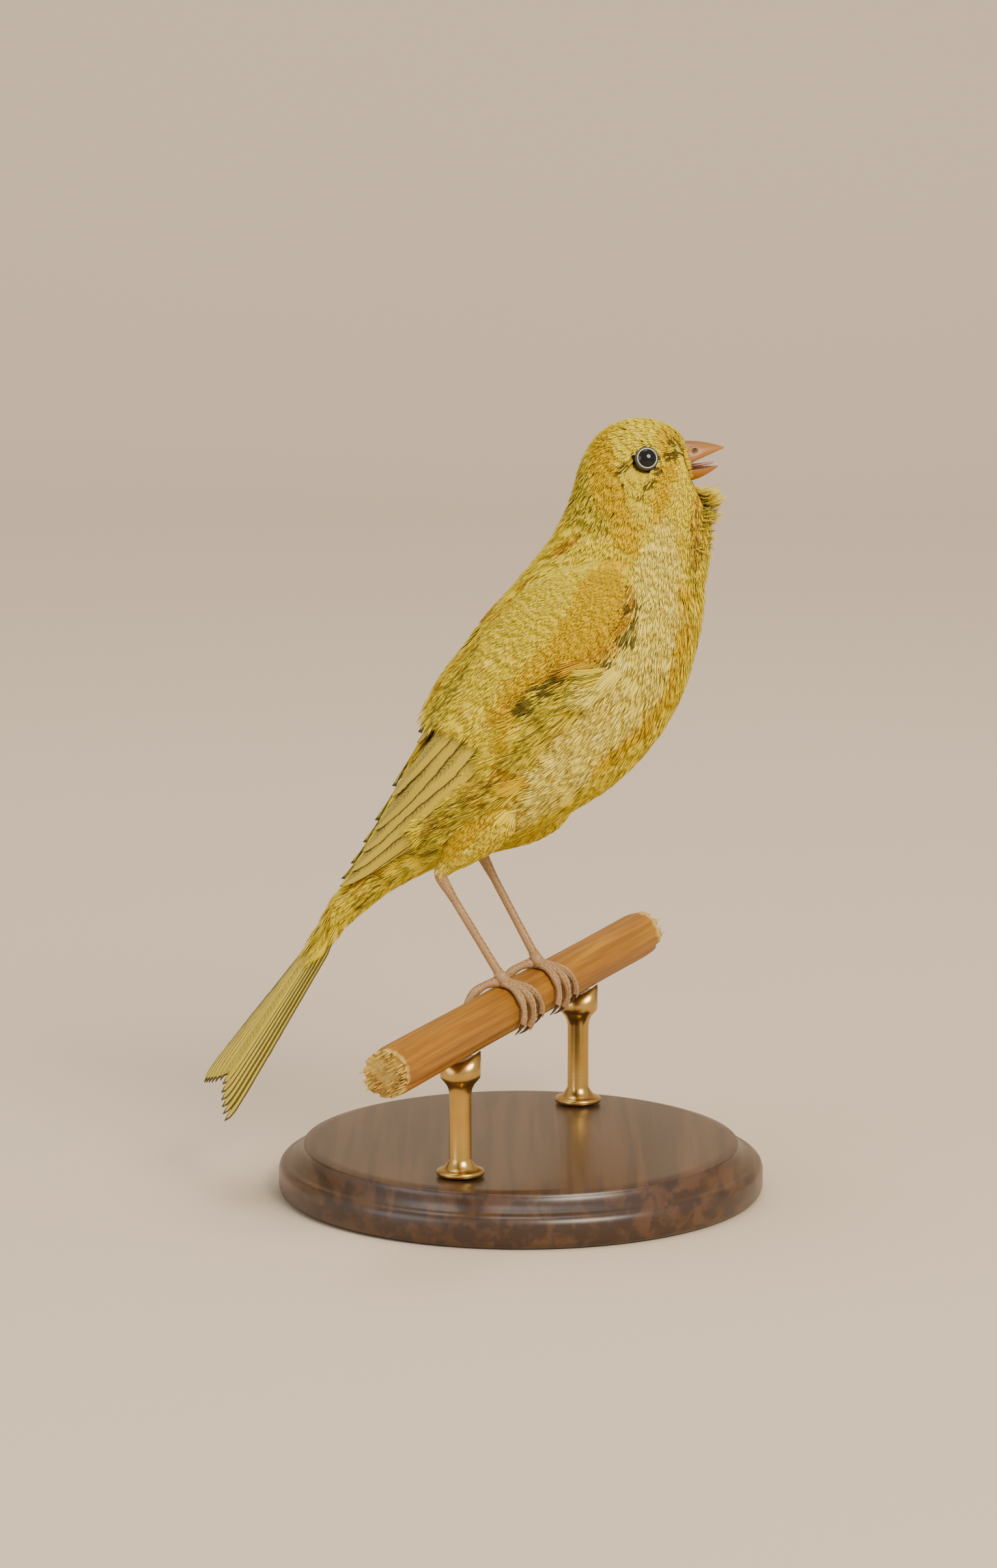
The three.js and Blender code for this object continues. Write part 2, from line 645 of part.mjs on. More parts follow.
function footPlan(leg) {
  const along = leg.place;
  const ankle = perchPoint(along, 2, PERCH_RADIUS + GAP + PAD_HEIGHT);
  const lean = leg.lean.clone().normalize();
  const heel = ankle.clone().addScaledVector(lean, TARSUS_LENGTH);
  return { along, ankle, lean, heel, thigh: leg.thigh.clone().normalize() };
}

// The middle of a toe, 0 at the ball of the foot and 1 at the root of the claw
function toePoint(plan, toe, t, radius) {
  const around = lerp(Math.sign(toe.end) * 4, toe.end, t);
  const along = plan.along + toe.drift * (1 - (1 - t) ** 1.6);
  return perchPoint(along, around, PERCH_RADIUS + GAP + 0.85 * radius);
}

function foot(plan) {
  const toes = TOES.map((toe) => {
    const stops = Array.from({ length: TOE_STOPS + 1 }, (_, i) => {
      const t = i / TOE_STOPS;
      const knuckle = 1 + 0.1 * Math.cos(2 * Math.PI * t * 2);
      const radius = toe.radius * lerp(1.12, 0.85, t) * knuckle;
      return [toePoint(plan, toe, t, toe.radius), radius];
    });
    return solid(limb(stops, 6));
  });
  const pad = ball(perchPoint(plan.along + 0.3, 2, PERCH_RADIUS + GAP + 0.75), [1.7, 1.5, 1.2], 8, 6);
  const stub = limb([
    [plan.ankle.clone().addScaledVector(plan.lean, -1.4), 0.95],
    [plan.ankle.clone().addScaledVector(plan.lean, 1), 0.8],
  ]);
  return joined([pad, solid(stub), ...toes]).subtract(perchCore(PERCH_RADIUS + GAP));
}

function claw(plan, toe) {
  const root = toePoint(plan, toe, 1, toe.radius);
  const way = root.clone().sub(toePoint(plan, toe, 0.97, toe.radius)).normalize();
  const down = perchPoint(0, toe.end, -1);
  const start = root.clone().addScaledVector(way, GAP);
  const stops = [0, 0.35, 0.7, 1].map((t) => [
    start
      .clone()
      .addScaledVector(way, 2.3 * t)
      .addScaledVector(down, 0.75 * t * t + 0.05),
    lerp(0.45, 0.07, t ** 0.8),
  ]);
  return solid(limb(stops, 6)).subtract(perchCore(PERCH_RADIUS + GAP));
}

// The tarsus carries a row of plates down its front, each stepping out over the next one down.
function tarsus(plan) {
  const plates = 7;
  const from = 1 + GAP;
  const stops = [];
  for (let i = 0; i < plates; i++) {
    for (const [part, raised] of [[0, 0.16], [0.82, 0.02]]) {
      const t = (i + part) / plates;
      const thick = lerp(0.78, 0.7, Math.min(1, 3 * t)) + 1.7 * Math.max(0, t - 0.72);
      const point = plan.ankle.clone().addScaledVector(plan.lean, lerp(from, TARSUS_LENGTH, t));
      stops.push([point, thick, raised]);
    }
  }
  stops.push([plan.heel, 1.2]);
  const heel = ball(plan.heel, [1.32, 1.2, 1.3]);
  const stub = limb([
    [plan.heel, 1.15],
    [plan.heel.clone().addScaledVector(plan.thigh, 1.5), 1.15],
  ]);
  return joined([solid(limb(stops)), heel, solid(stub)]);
}

function thigh(plan, skin) {
  const stops = [[1.5 + GAP, 1.5], [3.5, 2.4], [6, 3.6], [9, 4.7], [12.5, 5.2], [16, 4.7], [18.5, 3.2]];
  const cone = limb(
    stops.map(([along, radius]) => [plan.heel.clone().addScaledVector(plan.thigh, along), radius]),
    14,
  );
  return solid(cone).subtract(skin);
}

function bird() {
  const group = new THREE.Group();
  group.position.z = PERCH_HEIGHT;
  const skin = solid(bodyLength(CUTS.neck, CUTS.tail, CURVE_GAP));
  const neck = joined([solid(bodyLength(CUTS.neck, CUTS.torso)), ...ruffles(RUFFLES.neck)]);
  group.add(
    piece("head", headSolid(), CROWN_YELLOW),
    piece("neck", neck, NECK_YELLOW),
    piece("torso", solid(bodyLength(CUTS.torso, CUTS.rump)), BREAST_CREAM),
    piece("rump", solid(bodyLength(CUTS.rump, CUTS.tail)), RUMP_YELLOW),
    piece("tail", tail(), TAIL_OLIVE),
    piece("bill_upper", upperBill(), BILL_HORN),
    piece("bill_lower", lowerBill(), BILL_HORN),
    piece("tongue", tongue(), TONGUE_PINK),
  );
  const wing = joined([shoulder(), ...flightFeathers(), ...coverts()]);
  for (const [name, leg] of Object.entries(LEGS)) {
    const plan = footPlan(leg);
    group.add(
      piece(`wing_${name}`, mirroredSolid(wing, leg.side), WING_GOLD),
      piece(`thigh_${name}`, thigh(plan, skin), BREAST_CREAM),
      piece(`tarsus_${name}`, tarsus(plan), LEG_SKIN),
      piece(`foot_${name}`, foot(plan), LEG_SKIN),
    );
    for (const toe of TOES) {
      group.add(piece(`claw_${name}_${toe.name}`, claw(plan, toe), CLAW_HORN));
    }
    const eye = new THREE.Mesh(new THREE.SphereGeometry(EYE_RADIUS, 12, 9), EYE_BLACK);
    eye.name = `eye_${name}`;
    eye.position.copy(mirrored(eyeCentre, leg.side));
    group.add(eye);
  }
  return group;
}

// The perch and what holds it, turned together under the bird
function stand() {
  const group = new THREE.Group();
  group.rotation.z = radians(-PERCH_YAW);

  const half = PERCH_LENGTH / 2;
  const perchProfile = [
    [0, -half],
    [PERCH_RADIUS - 0.5, -half],
    [PERCH_RADIUS, 0.5 - half],
    [PERCH_RADIUS, half - 0.5],
    [PERCH_RADIUS - 0.5, half],
    [0, half],
  ];
  const perch = piece("perch", solid(turned(perchProfile)), PERCH_WOOD);
  perch.rotation.x = -Math.PI / 2;
  perch.position.z = PERCH_HEIGHT;

  const baseProfile = [
    [0, 0],
    [BASE_RADIUS - 1, 0],
    [BASE_RADIUS, 1],
    [BASE_RADIUS, 4.6],
    [BASE_RADIUS - 0.9, 5.6],
    [BASE_RADIUS - 3.4, 7],
    [BASE_RADIUS - 4.2, BASE_HEIGHT - 0.3],
    [BASE_RADIUS - 5, BASE_HEIGHT],
    [0, BASE_HEIGHT],
  ];
  group.add(perch, piece("stand_base", solid(turned(baseProfile, 36)), BASE_WOOD));

  const bottom = BASE_HEIGHT + GAP;
  const rodProfile = [
    [0, bottom],
    [3.9, bottom],
    [3.9, bottom + 0.9],
    [ROD_RADIUS + 0.5, bottom + 1.7],
    [ROD_RADIUS, bottom + 2.4],
    [ROD_RADIUS, PERCH_HEIGHT - PERCH_RADIUS - 3.4],
    [ROD_RADIUS + 1.5, PERCH_HEIGHT - PERCH_RADIUS - 1.6],
    [ROD_RADIUS + 1.5, PERCH_HEIGHT - 2.2],
    [0, PERCH_HEIGHT - 2.2],
  ];
  const bed = new THREE.CylinderGeometry(PERCH_RADIUS + GAP, PERCH_RADIUS + GAP, 20, ROUND);
  bed.translate(0, 0, PERCH_HEIGHT);
  for (const [number, side] of [[1, -1], [2, 1]]) {
    const rod = piece(`stand_rod_${number}`, solid(turned(rodProfile, 14)).subtract(solid(bed)), BRASS);
    rod.position.y = side * ROD_SPREAD;
    group.add(rod);
  }
  return group;
}

const canary = new THREE.Group();
canary.add(bird(), stand());

export default canary;
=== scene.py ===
# A life-size canary in full song, gripping a short cut length of perch. The perch lies in two
# brass cradles that stand on a turned hardwood base.
import math

import bpy
import numpy as np
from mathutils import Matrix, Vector, kdtree


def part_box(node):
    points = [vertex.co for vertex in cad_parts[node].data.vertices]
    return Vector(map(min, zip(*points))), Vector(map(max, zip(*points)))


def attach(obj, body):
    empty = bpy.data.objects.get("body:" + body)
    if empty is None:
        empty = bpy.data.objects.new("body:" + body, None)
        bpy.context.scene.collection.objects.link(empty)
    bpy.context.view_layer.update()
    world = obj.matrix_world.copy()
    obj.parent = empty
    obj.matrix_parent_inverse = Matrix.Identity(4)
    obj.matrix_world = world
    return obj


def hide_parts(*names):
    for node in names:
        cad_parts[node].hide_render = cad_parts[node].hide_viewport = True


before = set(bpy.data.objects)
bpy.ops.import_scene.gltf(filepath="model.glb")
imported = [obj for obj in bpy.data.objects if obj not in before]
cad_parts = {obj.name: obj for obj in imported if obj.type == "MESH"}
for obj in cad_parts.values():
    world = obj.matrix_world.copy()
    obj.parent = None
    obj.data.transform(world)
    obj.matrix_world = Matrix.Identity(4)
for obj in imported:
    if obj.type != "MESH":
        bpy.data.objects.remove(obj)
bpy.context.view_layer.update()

# The body under the feathers: soft skin from the bill to the tail's root, with both thighs and
# the flesh of both folded wings. It is one closed form, set in from the plumage's outline by
# the depth of the feathers, and it has their colours, so that no gap between them shows.
MM = 0.001
perch_low, perch_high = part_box("perch")
PERCH_AXIS = (perch_low.z + perch_high.z) / 2 / MM
PERCH_RADIUS = (perch_high.z - perch_low.z) / 2 / MM

# Each station of the outline is a plane through a point of the back and the one of the breast
# opposite it, both x, z in millimetres from the perch's axis, then half its width, and how much
# wider it is towards the back. The last two run on under the tail's coverts.
OUTLINE = np.array([
    [26.4, 92.5, 26.6, 85.8, 3.4, 0], [24.7, 94.4, 28.0, 84.0, 4.5, 0.1],
    [21.8, 95.7, 29.4, 82.2, 5.5, 0.16], [18.2, 96.0, 30.2, 80.0, 6.5, 0.2],
    [14.6, 94.9, 30.4, 77.5, 7.4, 0.2], [11.4, 92.2, 30.2, 74.7, 8.3, 0.14],
    [9.3, 88.0, 29.8, 71.6, 9.1, 0.05], [7.7, 82.5, 29.3, 68.1, 10.4, -0.03],
    [4.9, 76.6, 29.0, 63.7, 12.3, -0.06], [0.2, 70.6, 28.2, 58.1, 14.8, -0.06],
    [-5.2, 63.7, 26.2, 51.3, 16.6, -0.04], [-10.2, 55.5, 22.0, 43.8, 17.3, 0],
    [-14.8, 46.6, 15.0, 36.4, 16.6, 0], [-18.9, 38.2, 5.4, 30.4, 14.3, 0],
    [-22.6, 30.8, -5.0, 25.7, 11.0, 0], [-26.0, 24.7, -13.9, 22.5, 8.0, 0],
    [-29.0, 19.8, -21.2, 18.5, 6.0, 0], [-31.9, 15.6, -27.2, 13.6, 4.8, 0],
    [-33.87, 10.88, -31.38, 9.2, 4.4, 0], [-36.6, 6.1, -34.8, 4.87, 4.0, 0],
])
SQUARENESS = 2.25  # 2 would make each station an ellipse
TAIL_ROOT = 17  # the station where the tail starts
TAIL_START = np.insert(OUTLINE[TAIL_ROOT][:4].reshape(2, 2).mean(0), 1, 0)
TAIL_ANGLE = math.radians(56)  # below level
TAIL_ALONG = np.array([-math.cos(TAIL_ANGLE), 0, -math.sin(TAIL_ANGLE)])
TAIL_ROLL = math.radians(18)  # its right edge is the lower one
ROLL_RUN = 1.09  # stations over which the tail's roll builds up


def spline_at(rows, u):
    """Rows of numbers read between their places, on a smooth curve through them."""
    rows = np.asarray(rows, float)
    ghosts = np.vstack([2 * rows[0] - rows[1], rows, 2 * rows[-1] - rows[-2]])
    u = np.clip(u, -0.4, len(rows) - 1)
    i = np.clip(np.floor(u).astype(int), 0, len(rows) - 2)
    t = (u - i)[..., None]
    p0, p1, p2, p3 = (ghosts[i + k] for k in range(4))
    bend = 2 * p0 - 5 * p1 + 4 * p2 - p3
    return 0.5 * (2 * p1 + (p2 - p0) * t + bend * t**2 + (3 * p1 - p0 - 3 * p2 + p3) * t**3)


def smooth_step(low, high, value):
    t = np.clip((value - low) / (high - low), 0, 1)
    return t * t * (3 - 2 * t)


def circle(count, whole=2 * math.pi):
    """Equal steps once round."""
    return np.linspace(0, whole, count, endpoint=False)


def unit(v):
    v = np.asarray(v, float)
    return v / np.linalg.norm(v, axis=-1, keepdims=True)


def metres(points):
    """Points measured from the perch's axis in millimetres, in the frame's metres."""
    return (points + [0, 0, PERCH_AXIS]) * MM


def turned_about(points, start, axis, angle):
    """Points turned about a line through start, each by its own angle."""
    arm = points - start
    c, s = np.cos(angle)[..., None], np.sin(angle)[..., None]
    return start + arm * c + np.cross(axis, arm) * s + axis * (arm @ axis)[..., None] * (1 - c)


def plumage(u, angle, lift=0.0):
    """A point on the plumage, in metres: u runs along the stations, and the angle in degrees from
    the middle of the back, 0, over the left side, 90, to the middle of the breast, 180."""
    u, angle, lift = np.broadcast_arrays(np.asarray(u, float), angle, lift)
    back_x, back_z, breast_x, breast_z, half, skew = np.moveaxis(spline_at(OUTLINE, u), -1, 0)
    high = np.hypot(back_x - breast_x, back_z - breast_z) / 2
    c, s = np.cos(np.radians(angle)), np.sin(np.radians(angle))
    up, out = (np.sign(v) * np.abs(v) ** (2 / SQUARENESS) for v in (c, s))
    reach = (high + lift) * up / (2 * high)
    points = np.stack([
        (back_x + breast_x) / 2 + (back_x - breast_x) * reach,
        (half + lift) * out * (1 + skew * up),
        (back_z + breast_z) / 2 + (back_z - breast_z) * reach,
    ], -1)
    roll = -TAIL_ROLL * np.clip((u - TAIL_ROOT) / ROLL_RUN, 0, 1)
    return metres(turned_about(points, TAIL_START, TAIL_ALONG, roll))


def skin_depth(u):
    """How far the skin lies under the outline: less on the face than on the body."""
    return 0.55 + 0.6 * smooth_step(2, 7, u)


# The folded wing's flesh: a place along the body, its upper and lower edge in degrees from the
# middle of the back, and its thickness
SHOULDER = np.array([
    [7.6, 84, 90, 0.2], [8.0, 66, 89, 1.1], [8.7, 42, 93, 1.9], [9.25, 30, 91, 2.0],
    [9.85, 22, 86, 1.7], [10.5, 14, 77, 1.3], [11.2, 10, 71, 0.9], [12.0, 8, 72, 0.6],
])
WING_CLEARANCE = 0.5


def read_at(u, table):
    """The columns of a table after its first, read at places of its first."""
    return [np.interp(u, table[:, 0], column) for column in table.T[1:]]


def wing_lift(u, angle):
    """How far the wing's flesh stands over the plumage's outline."""
    upper, lower, thick = read_at(u, SHOULDER)
    across = np.clip((np.abs(angle) - upper) / (lower - upper), 0, 1)
    return WING_CLEARANCE + thick * np.sin(np.pi * across) ** 0.5


def loft(rings):
    """A closed skin over rings of as many points each: its points, quads and end triangles."""
    rings = np.asarray(rings, float)
    rows, count = rings.shape[:2]
    grid = np.arange(rows * count).reshape(rows, count)
    beside = np.roll(grid, -1, 1)
    quads = np.stack([grid[:-1], beside[:-1], beside[1:], grid[1:]], -1).reshape(-1, 4)
    first = np.stack([np.full(count, rows * count), beside[0], grid[0]], -1)
    last = np.stack([np.full(count, rows * count + 1), grid[-1], beside[-1]], -1)
    points = np.vstack([rings.reshape(-1, 3), rings[0].mean(0), rings[-1].mean(0)])
    tris = np.vstack([first, last])
    corners = np.vstack([quads[:, [0, 1, 2]], quads[:, [0, 2, 3]], tris])
    a, b, c = (points[corners[:, k]] - points[0] for k in range(3))
    if np.sum(a * np.cross(b, c)) < 0:
        quads, tris = quads[:, ::-1], tris[:, ::-1]
    return points, quads, tris


def gather(parts):
    """Several closed skins as one set of points, quads and triangles."""
    starts = np.cumsum([0] + [len(part[0]) for part in parts])
    moved = [(points, quads + at, tris + at) for (points, quads, tris), at in zip(parts, starts)]
    return [np.vstack(column) for column in zip(*moved)]


def in_scene(name, data):
    """A new object of the scene with its mesh, lamp or camera."""
    thing = bpy.data.objects.new(name, data)
    bpy.context.scene.collection.objects.link(thing)
    return thing


def make_piece(name, points, *face_groups):
    """A smooth mesh object from points in metres and arrays of quads and triangles."""
    mesh = bpy.data.meshes.new(name)
    mesh.vertices.add(len(points))
    mesh.vertices.foreach_set("co", np.asarray(points, np.float32).ravel())
    sizes = np.concatenate([np.full(len(f), f.shape[1]) for f in face_groups])
    corners = np.concatenate([f.ravel() for f in face_groups]).astype(np.int32)
    mesh.loops.add(len(corners))
    mesh.loops.foreach_set("vertex_index", corners)
    mesh.polygons.add(len(sizes))
    mesh.polygons.foreach_set("loop_start", np.cumsum(np.append(0, sizes[:-1])).astype(np.int32))
    mesh.polygons.foreach_set("use_smooth", np.ones(len(sizes), bool))
    mesh.update(calc_edges=True)
    return in_scene(name, mesh)


def store_colour(piece, name, columns):
    """Four columns of numbers, a row a point, which a material reads as a colour attribute."""
    values = np.clip(np.stack(columns, -1), 0, 1)
    layer = piece.data.color_attributes.new(name, "FLOAT_COLOR", "POINT")
    layer.data.foreach_set("color", values.astype(np.float32).ravel())


def finish_piece(piece, material, slot, *nodes):
    """The last steps for every piece: its material, its body and what it stands for. Its slot is not
    used.
    """
    piece.data.materials.clear()
    piece.data.materials.append(material)
    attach(piece, "root")
    if nodes:
        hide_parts(*nodes)


def linear(hex_colour):
    """An sRGB hex value as a linear colour."""
    values = [int(hex_colour[i:i + 2], 16) / 255 for i in (1, 3, 5)]
    return [v / 12.92 if v <= 0.04045 else ((v + 0.055) / 1.055) ** 2.4 for v in values] + [1.0]


def feed(tree, node, inputs):
    """Sets a node's inputs, each to a value, to a socket, or to a node's first output."""
    for key, value in inputs.items():
        if isinstance(value, bpy.types.Node):
            value = value.outputs[0]
        if isinstance(value, bpy.types.NodeSocket):
            tree.links.new(value, node.inputs[key])
        else:
            node.inputs[key].default_value = value


def add(tree, kind, inputs=None, **settings):
    """Adds a node, a shader's where its kind doesn't say, with its settings and what feeds it."""
    made = tree.nodes.new(kind if "Node" in kind else "ShaderNode" + kind)
    for key, value in settings.items():
        setattr(made, key, value)
    feed(tree, made, inputs or {})
    return made


def new_material(name, uv_map=None, **settings):
    """A material with its tree and what its patterns are placed by: the object's own coordinates
    or a UV map. The settings are its shader's, with underscores for the spaces in their names."""
    material = bpy.data.materials.new(name)
    material.use_nodes = True
    tree = material.node_tree
    settings = {key.replace("_", " "): value for key, value in settings.items()}
    feed(tree, tree.nodes["Principled BSDF"], settings)
    place = add(tree, "UVMap", uv_map=uv_map) if uv_map else add(tree, "TexCoord").outputs["Object"]
    return material, tree, place


def surface(tree, colour, coats, relief=None, tone=None):
    """Lays coats over a first colour, each by its own amount, then lightens or darkens it by a
    tone. The relief is a bump's strength, its depth in metres and what it follows."""
    for amount, paint in coats:
        under, over = (linear(c) if isinstance(c, str) else c for c in (colour, paint))
        colour = add(tree, "Mix", {0: amount, 6: under, 7: over}, data_type="RGBA").outputs[2]
    if tone:
        colour = add(tree, "HueSaturation", {"Value": tone, "Color": colour})
    looks = {"Base Color": colour}
    if relief:
        looks["Normal"] = add(tree, "Bump", dict(zip(("Strength", "Distance", "Height"), relief)))
    feed(tree, tree.nodes["Principled BSDF"], looks)


# Markings of the plumage, with painted highlight and painted shade among them. Each is a brush-like
# stroke over the skin: places along the body and degrees from the middle of the back, then half its
# width in millimetres. They are alike on both sides, and the rest of the bird is lemon yellow.
MARKS = {
    "gold": [
        [(4.2, 8, 1.2), (4.55, 14, 1.9), (4.95, 30, 2.5), (5.35, 44, 2.6), (5.8, 57, 2.5),
         (6.2, 70, 2.1), (6.5, 82, 1.6), (6.75, 88, 0.9)],
        [(1.0, 42, 1.2), (1.6, 44, 1.6), (2.2, 58, 1.3), (2.5, 76, 1.2)],
        [(2.5, 86, 1.2), (3.1, 90, 1.8), (3.8, 92, 1.8), (4.6, 95, 1.4), (5.1, 98, 0.8)],
        [(7.35, 76, 0.7), (7.75, 79, 1.7), (8.3, 80, 3.3), (8.85, 84, 4.3), (9.4, 84, 4.4),
         (9.85, 80, 3.6), (10.35, 73, 2.6), (10.8, 66, 1.7), (11.3, 61, 0.8)],
        [(6.7, 133, 0.7), (7.4, 140, 1.0), (8.2, 143, 1.3), (9.1, 145, 1.5), (9.8, 144, 1.6),
         (10.5, 140, 1.5), (11.2, 134, 1.2), (11.8, 128, 0.6)],
        [(12.1, 99, 0.7), (12.6, 95, 1.3), (13.1, 95, 1.5), (13.5, 101, 1.3), (14.0, 110, 0.8)],
        [(11.0, 68, 0.7), (11.6, 78, 0.8), (12.2, 84, 0.6)],
    ],
    # The cream strokes on the breast's sides hold a paler colour and a painted highlight.
    "cream_and_highlight": [
        [(6.6, 100, 2.0), (7.2, 112, 5.0), (8.2, 116, 6.5), (9.2, 118, 6.5), (10.2, 116, 6.5),
         (11.2, 112, 6.0), (12.2, 112, 5.0), (13.0, 118, 3.0)],
        [(5.4, 104, 2.2), (6.0, 108, 3.0), (6.6, 112, 3.5)],
    ],
    # The olive strokes copy hatching: an olive colour together with painted shade.
    "olive": [
        [(5.6, 5, 1.0), (6.2, 16, 2.2), (6.7, 26, 3.2), (7.0, 38, 2.8), (6.9, 52, 2.0),
         (6.8, 62, 1.2)],
        [(6.3, -14, 2.4), (6.9, 0, 3.0), (6.3, 14, 2.4)],
        [(10.2, 27, 0.8), (10.8, 26, 1.6), (11.5, 26, 2.4), (12.2, 22, 2.8), (12.9, 15, 2.4),
         (13.4, 9, 1.4)],
        [(12.2, 88, 1.2), (12.8, 84, 2.0), (13.4, 84, 2.6), (13.9, 90, 2.4), (14.4, 92, 1.4)],
        [(14.6, 112, 1.0), (15.6, 108, 1.3), (16.4, 100, 1.1)],
        [(9.6, 97, 0.8), (10.1, 93, 1.4), (10.7, 88, 1.8), (11.4, 86, 2.0), (12.0, 88, 1.6)],
        [(3.4, 140, 1.2), (4.6, 142, 1.6), (6.0, 143, 1.4), (7.0, 146, 0.8)],
    ],
    "ink_and_shade": [
        [(2.95, 76, 0.35), (2.2, 77, 0.7), (1.5, 76, 0.7)],
        [(0.9, 60, 0.5), (1.4, 56, 0.6), (1.9, 62, 0.4)],
        [(4.25, 66, 0.55), (4.7, 60, 0.55), (4.95, 57, 0.3)],
        [(3.45, 83.5, 0.25), (4.1, 84.5, 0.32), (4.65, 82, 0.5), (5.1, 83, 0.5), (5.45, 89, 0.3)],
        # painted shadow under the wing's lower edge
        [(8.2, 93, 0.35), (8.6, 98, 0.4), (9.05, 99, 0.4), (9.5, 96, 0.45), (10.0, 89, 0.45),
         (10.5, 81, 0.5), (11.0, 74, 0.45)],
    ],
    # Most rust strokes are painted shade: on the back beside the wing, under the wing's lower edge and
    # its tips, and between the thighs.
    "rust_and_shade": [
        [(7.4, 40, 0.45), (8.05, 27, 0.75), (8.8, 24, 0.8), (9.6, 24, 0.8), (10.2, 20, 0.8),
         (10.7, 15, 0.7), (11.3, 9, 0.6), (12.0, 6, 0.6), (12.9, 5, 0.4)],
        [(14.6, 68, 0.6), (15.4, 62, 0.9), (16.2, 46, 1.1), (17.0, 26, 1.2)],
        [(2.4, 132, 0.8), (3.4, 138, 1.0), (4.6, 142, 1.2), (5.8, 144, 1.0)],
        [(8.05, 90, 0.4), (8.5, 94.5, 0.8), (9.0, 96, 0.9), (9.4, 93, 0.8), (9.75, 89, 0.6),
         (10.3, 79, 0.6), (11.0, 70, 0.7), (11.6, 66, 0.5)],
        [(12.1, 84, 0.5), (12.9, 82, 0.7), (13.6, 79, 0.6)],
        [(12.6, 116, 0.8), (13.2, 122, 1.0), (13.8, 132, 0.7)],
    ],
}


def in_stroke(points, stroke):
    """1 inside a stroke, falling to 0 a third of its half width past its edge."""
    stroke = np.array(stroke)
    line = plumage(stroke[:, 0], stroke[:, 1]) / MM
    best = np.full(len(points), -9.0)
    for a, b, wide_a, wide_b in zip(line, line[1:], stroke[:, 2], stroke[1:, 2]):
        t = np.clip((points - a) @ (b - a) / ((b - a) @ (b - a)), 0, 1)
        wide = wide_a + (wide_b - wide_a) * t
        away = np.linalg.norm(points - a - t[:, None] * (b - a), axis=1)
        best = np.maximum(best, (wide - away) / wide)
    return smooth_step(-0.35, 0.35, best)


def markings(u, angle):
    """Gold, cream with a painted highlight, and olive, ink and rust with painted shade, each from 0 to
    1, at places of the plumage.
    """
    points = plumage(u, np.abs(angle)) / MM
    return np.stack([np.max([in_stroke(points, s) for s in MARKS[name]], 0) for name in MARKS], -1)


# Contour feathers, soft barbs of matt keratin. The yellow is in the barbs themselves, paler on the
# breast, where a painted highlight lies, and golden on the shoulder. Each barb has its own tone, and
# its root is painted darker and browner as shade.
def plumage_material(name, rough):
    material, tree, place = new_material(
        name, Roughness=rough, Sheen_Weight=0.02, Sheen_Roughness=0.6, Specular_IOR_Level=0.1)
    marks = add(tree, "VertexColor", layer_name="Marks")
    barb = add(tree, "VertexColor", layer_name="Barb")
    split = add(tree, "SeparateColor", {0: marks})
    own = add(tree, "SeparateColor", {0: barb})
    mottle = add(tree, "TexNoise", {"Vector": place, "Scale": 260, "Detail": 3})
    # painted shade: each barb turns darker and browner towards its root
    root = add(tree, "MapRange", {0: own.outputs[1], 1: 0.1, 2: 0.65, 3: 0.3, 4: 0.0})
    tone = add(tree, "MapRange", {0: own, 3: 0.93, 4: 1.05})
    grain = add(tree, "TexNoise", {"Vector": place, "Scale": 5200, "Detail": 2})
    surface(tree, "#dfc518", [
        (mottle, "#e6cf30"),
        (split.outputs[1], "#ead65c"),  # cream with a painted highlight
        (barb.outputs["Alpha"], "#eee084"),  # a pale barb
        (split, "#d4ae00"),  # gold
        (own.outputs[2], "#b8881a"),  # rust with painted shade
        (split.outputs[2], "#a09034"),  # olive hatching with painted shade
        (marks.outputs["Alpha"], "#4a3d1a"),  # ink with painted shade
        # painted shade at the barbs' roots
        (root, "#a87208"),
    ], (0.25, 0.00006, grain), tone)
    return material


plumage_skin = plumage_material("Down-covered skin, soft and matt", 0.9)
soft_feather = plumage_material("Contour feather, loose matt barbs", 0.75)

# The legs stand on the perch, and the skin takes in their thighs. All in millimetres, from the
# perch's axis: each foot's place along the perch, how its shank leans back, how its thigh leans on.
PERCH_YAW = math.radians(21.3)  # from straight across the bird
GAP = 0.3  # between the toes and the perch
PAD_HEIGHT = 1.5
SHANK_LENGTH = 19.8
LEGS = {
    "right": {"side": -1, "along": -9.5, "lean": (-10.7, -1, 18.2), "thigh": (0.62, -0.02, 0.78)},
    "left": {"side": 1, "along": 6.5, "lean": (-9.1, 2, 17.2), "thigh": (0.77, 0, 0.64)},
}
THIGH = np.array([  # how far over the heel, and the radius there
    [0.9, 1.25], [1.8, 1.5], [3.5, 2.4], [6, 3.6], [9, 4.7], [12.5, 5.2], [16, 4.7], [18.5, 3.2],
])
THIGH_LENGTH = 18.5


def perch_point(along, around, radius):
    """A point by the perch: along it, round it in degrees from its top towards the bird's front."""
    along, around, radius = np.broadcast_arrays(np.asarray(along, float), around, radius)
    front = radius * np.sin(np.radians(around))
    c, s = math.cos(PERCH_YAW), math.sin(PERCH_YAW)
    high = radius * np.cos(np.radians(around))
    return np.stack([along * s + front * c, along * c - front * s, high], -1)


for leg in LEGS.values():
    leg["lean"], leg["thigh"] = unit(leg["lean"]), unit(leg["thigh"])
    leg["ankle"] = perch_point(leg["along"], 2, PERCH_RADIUS + GAP + PAD_HEIGHT)
    leg["heel"] = leg["ankle"] + leg["lean"] * SHANK_LENGTH


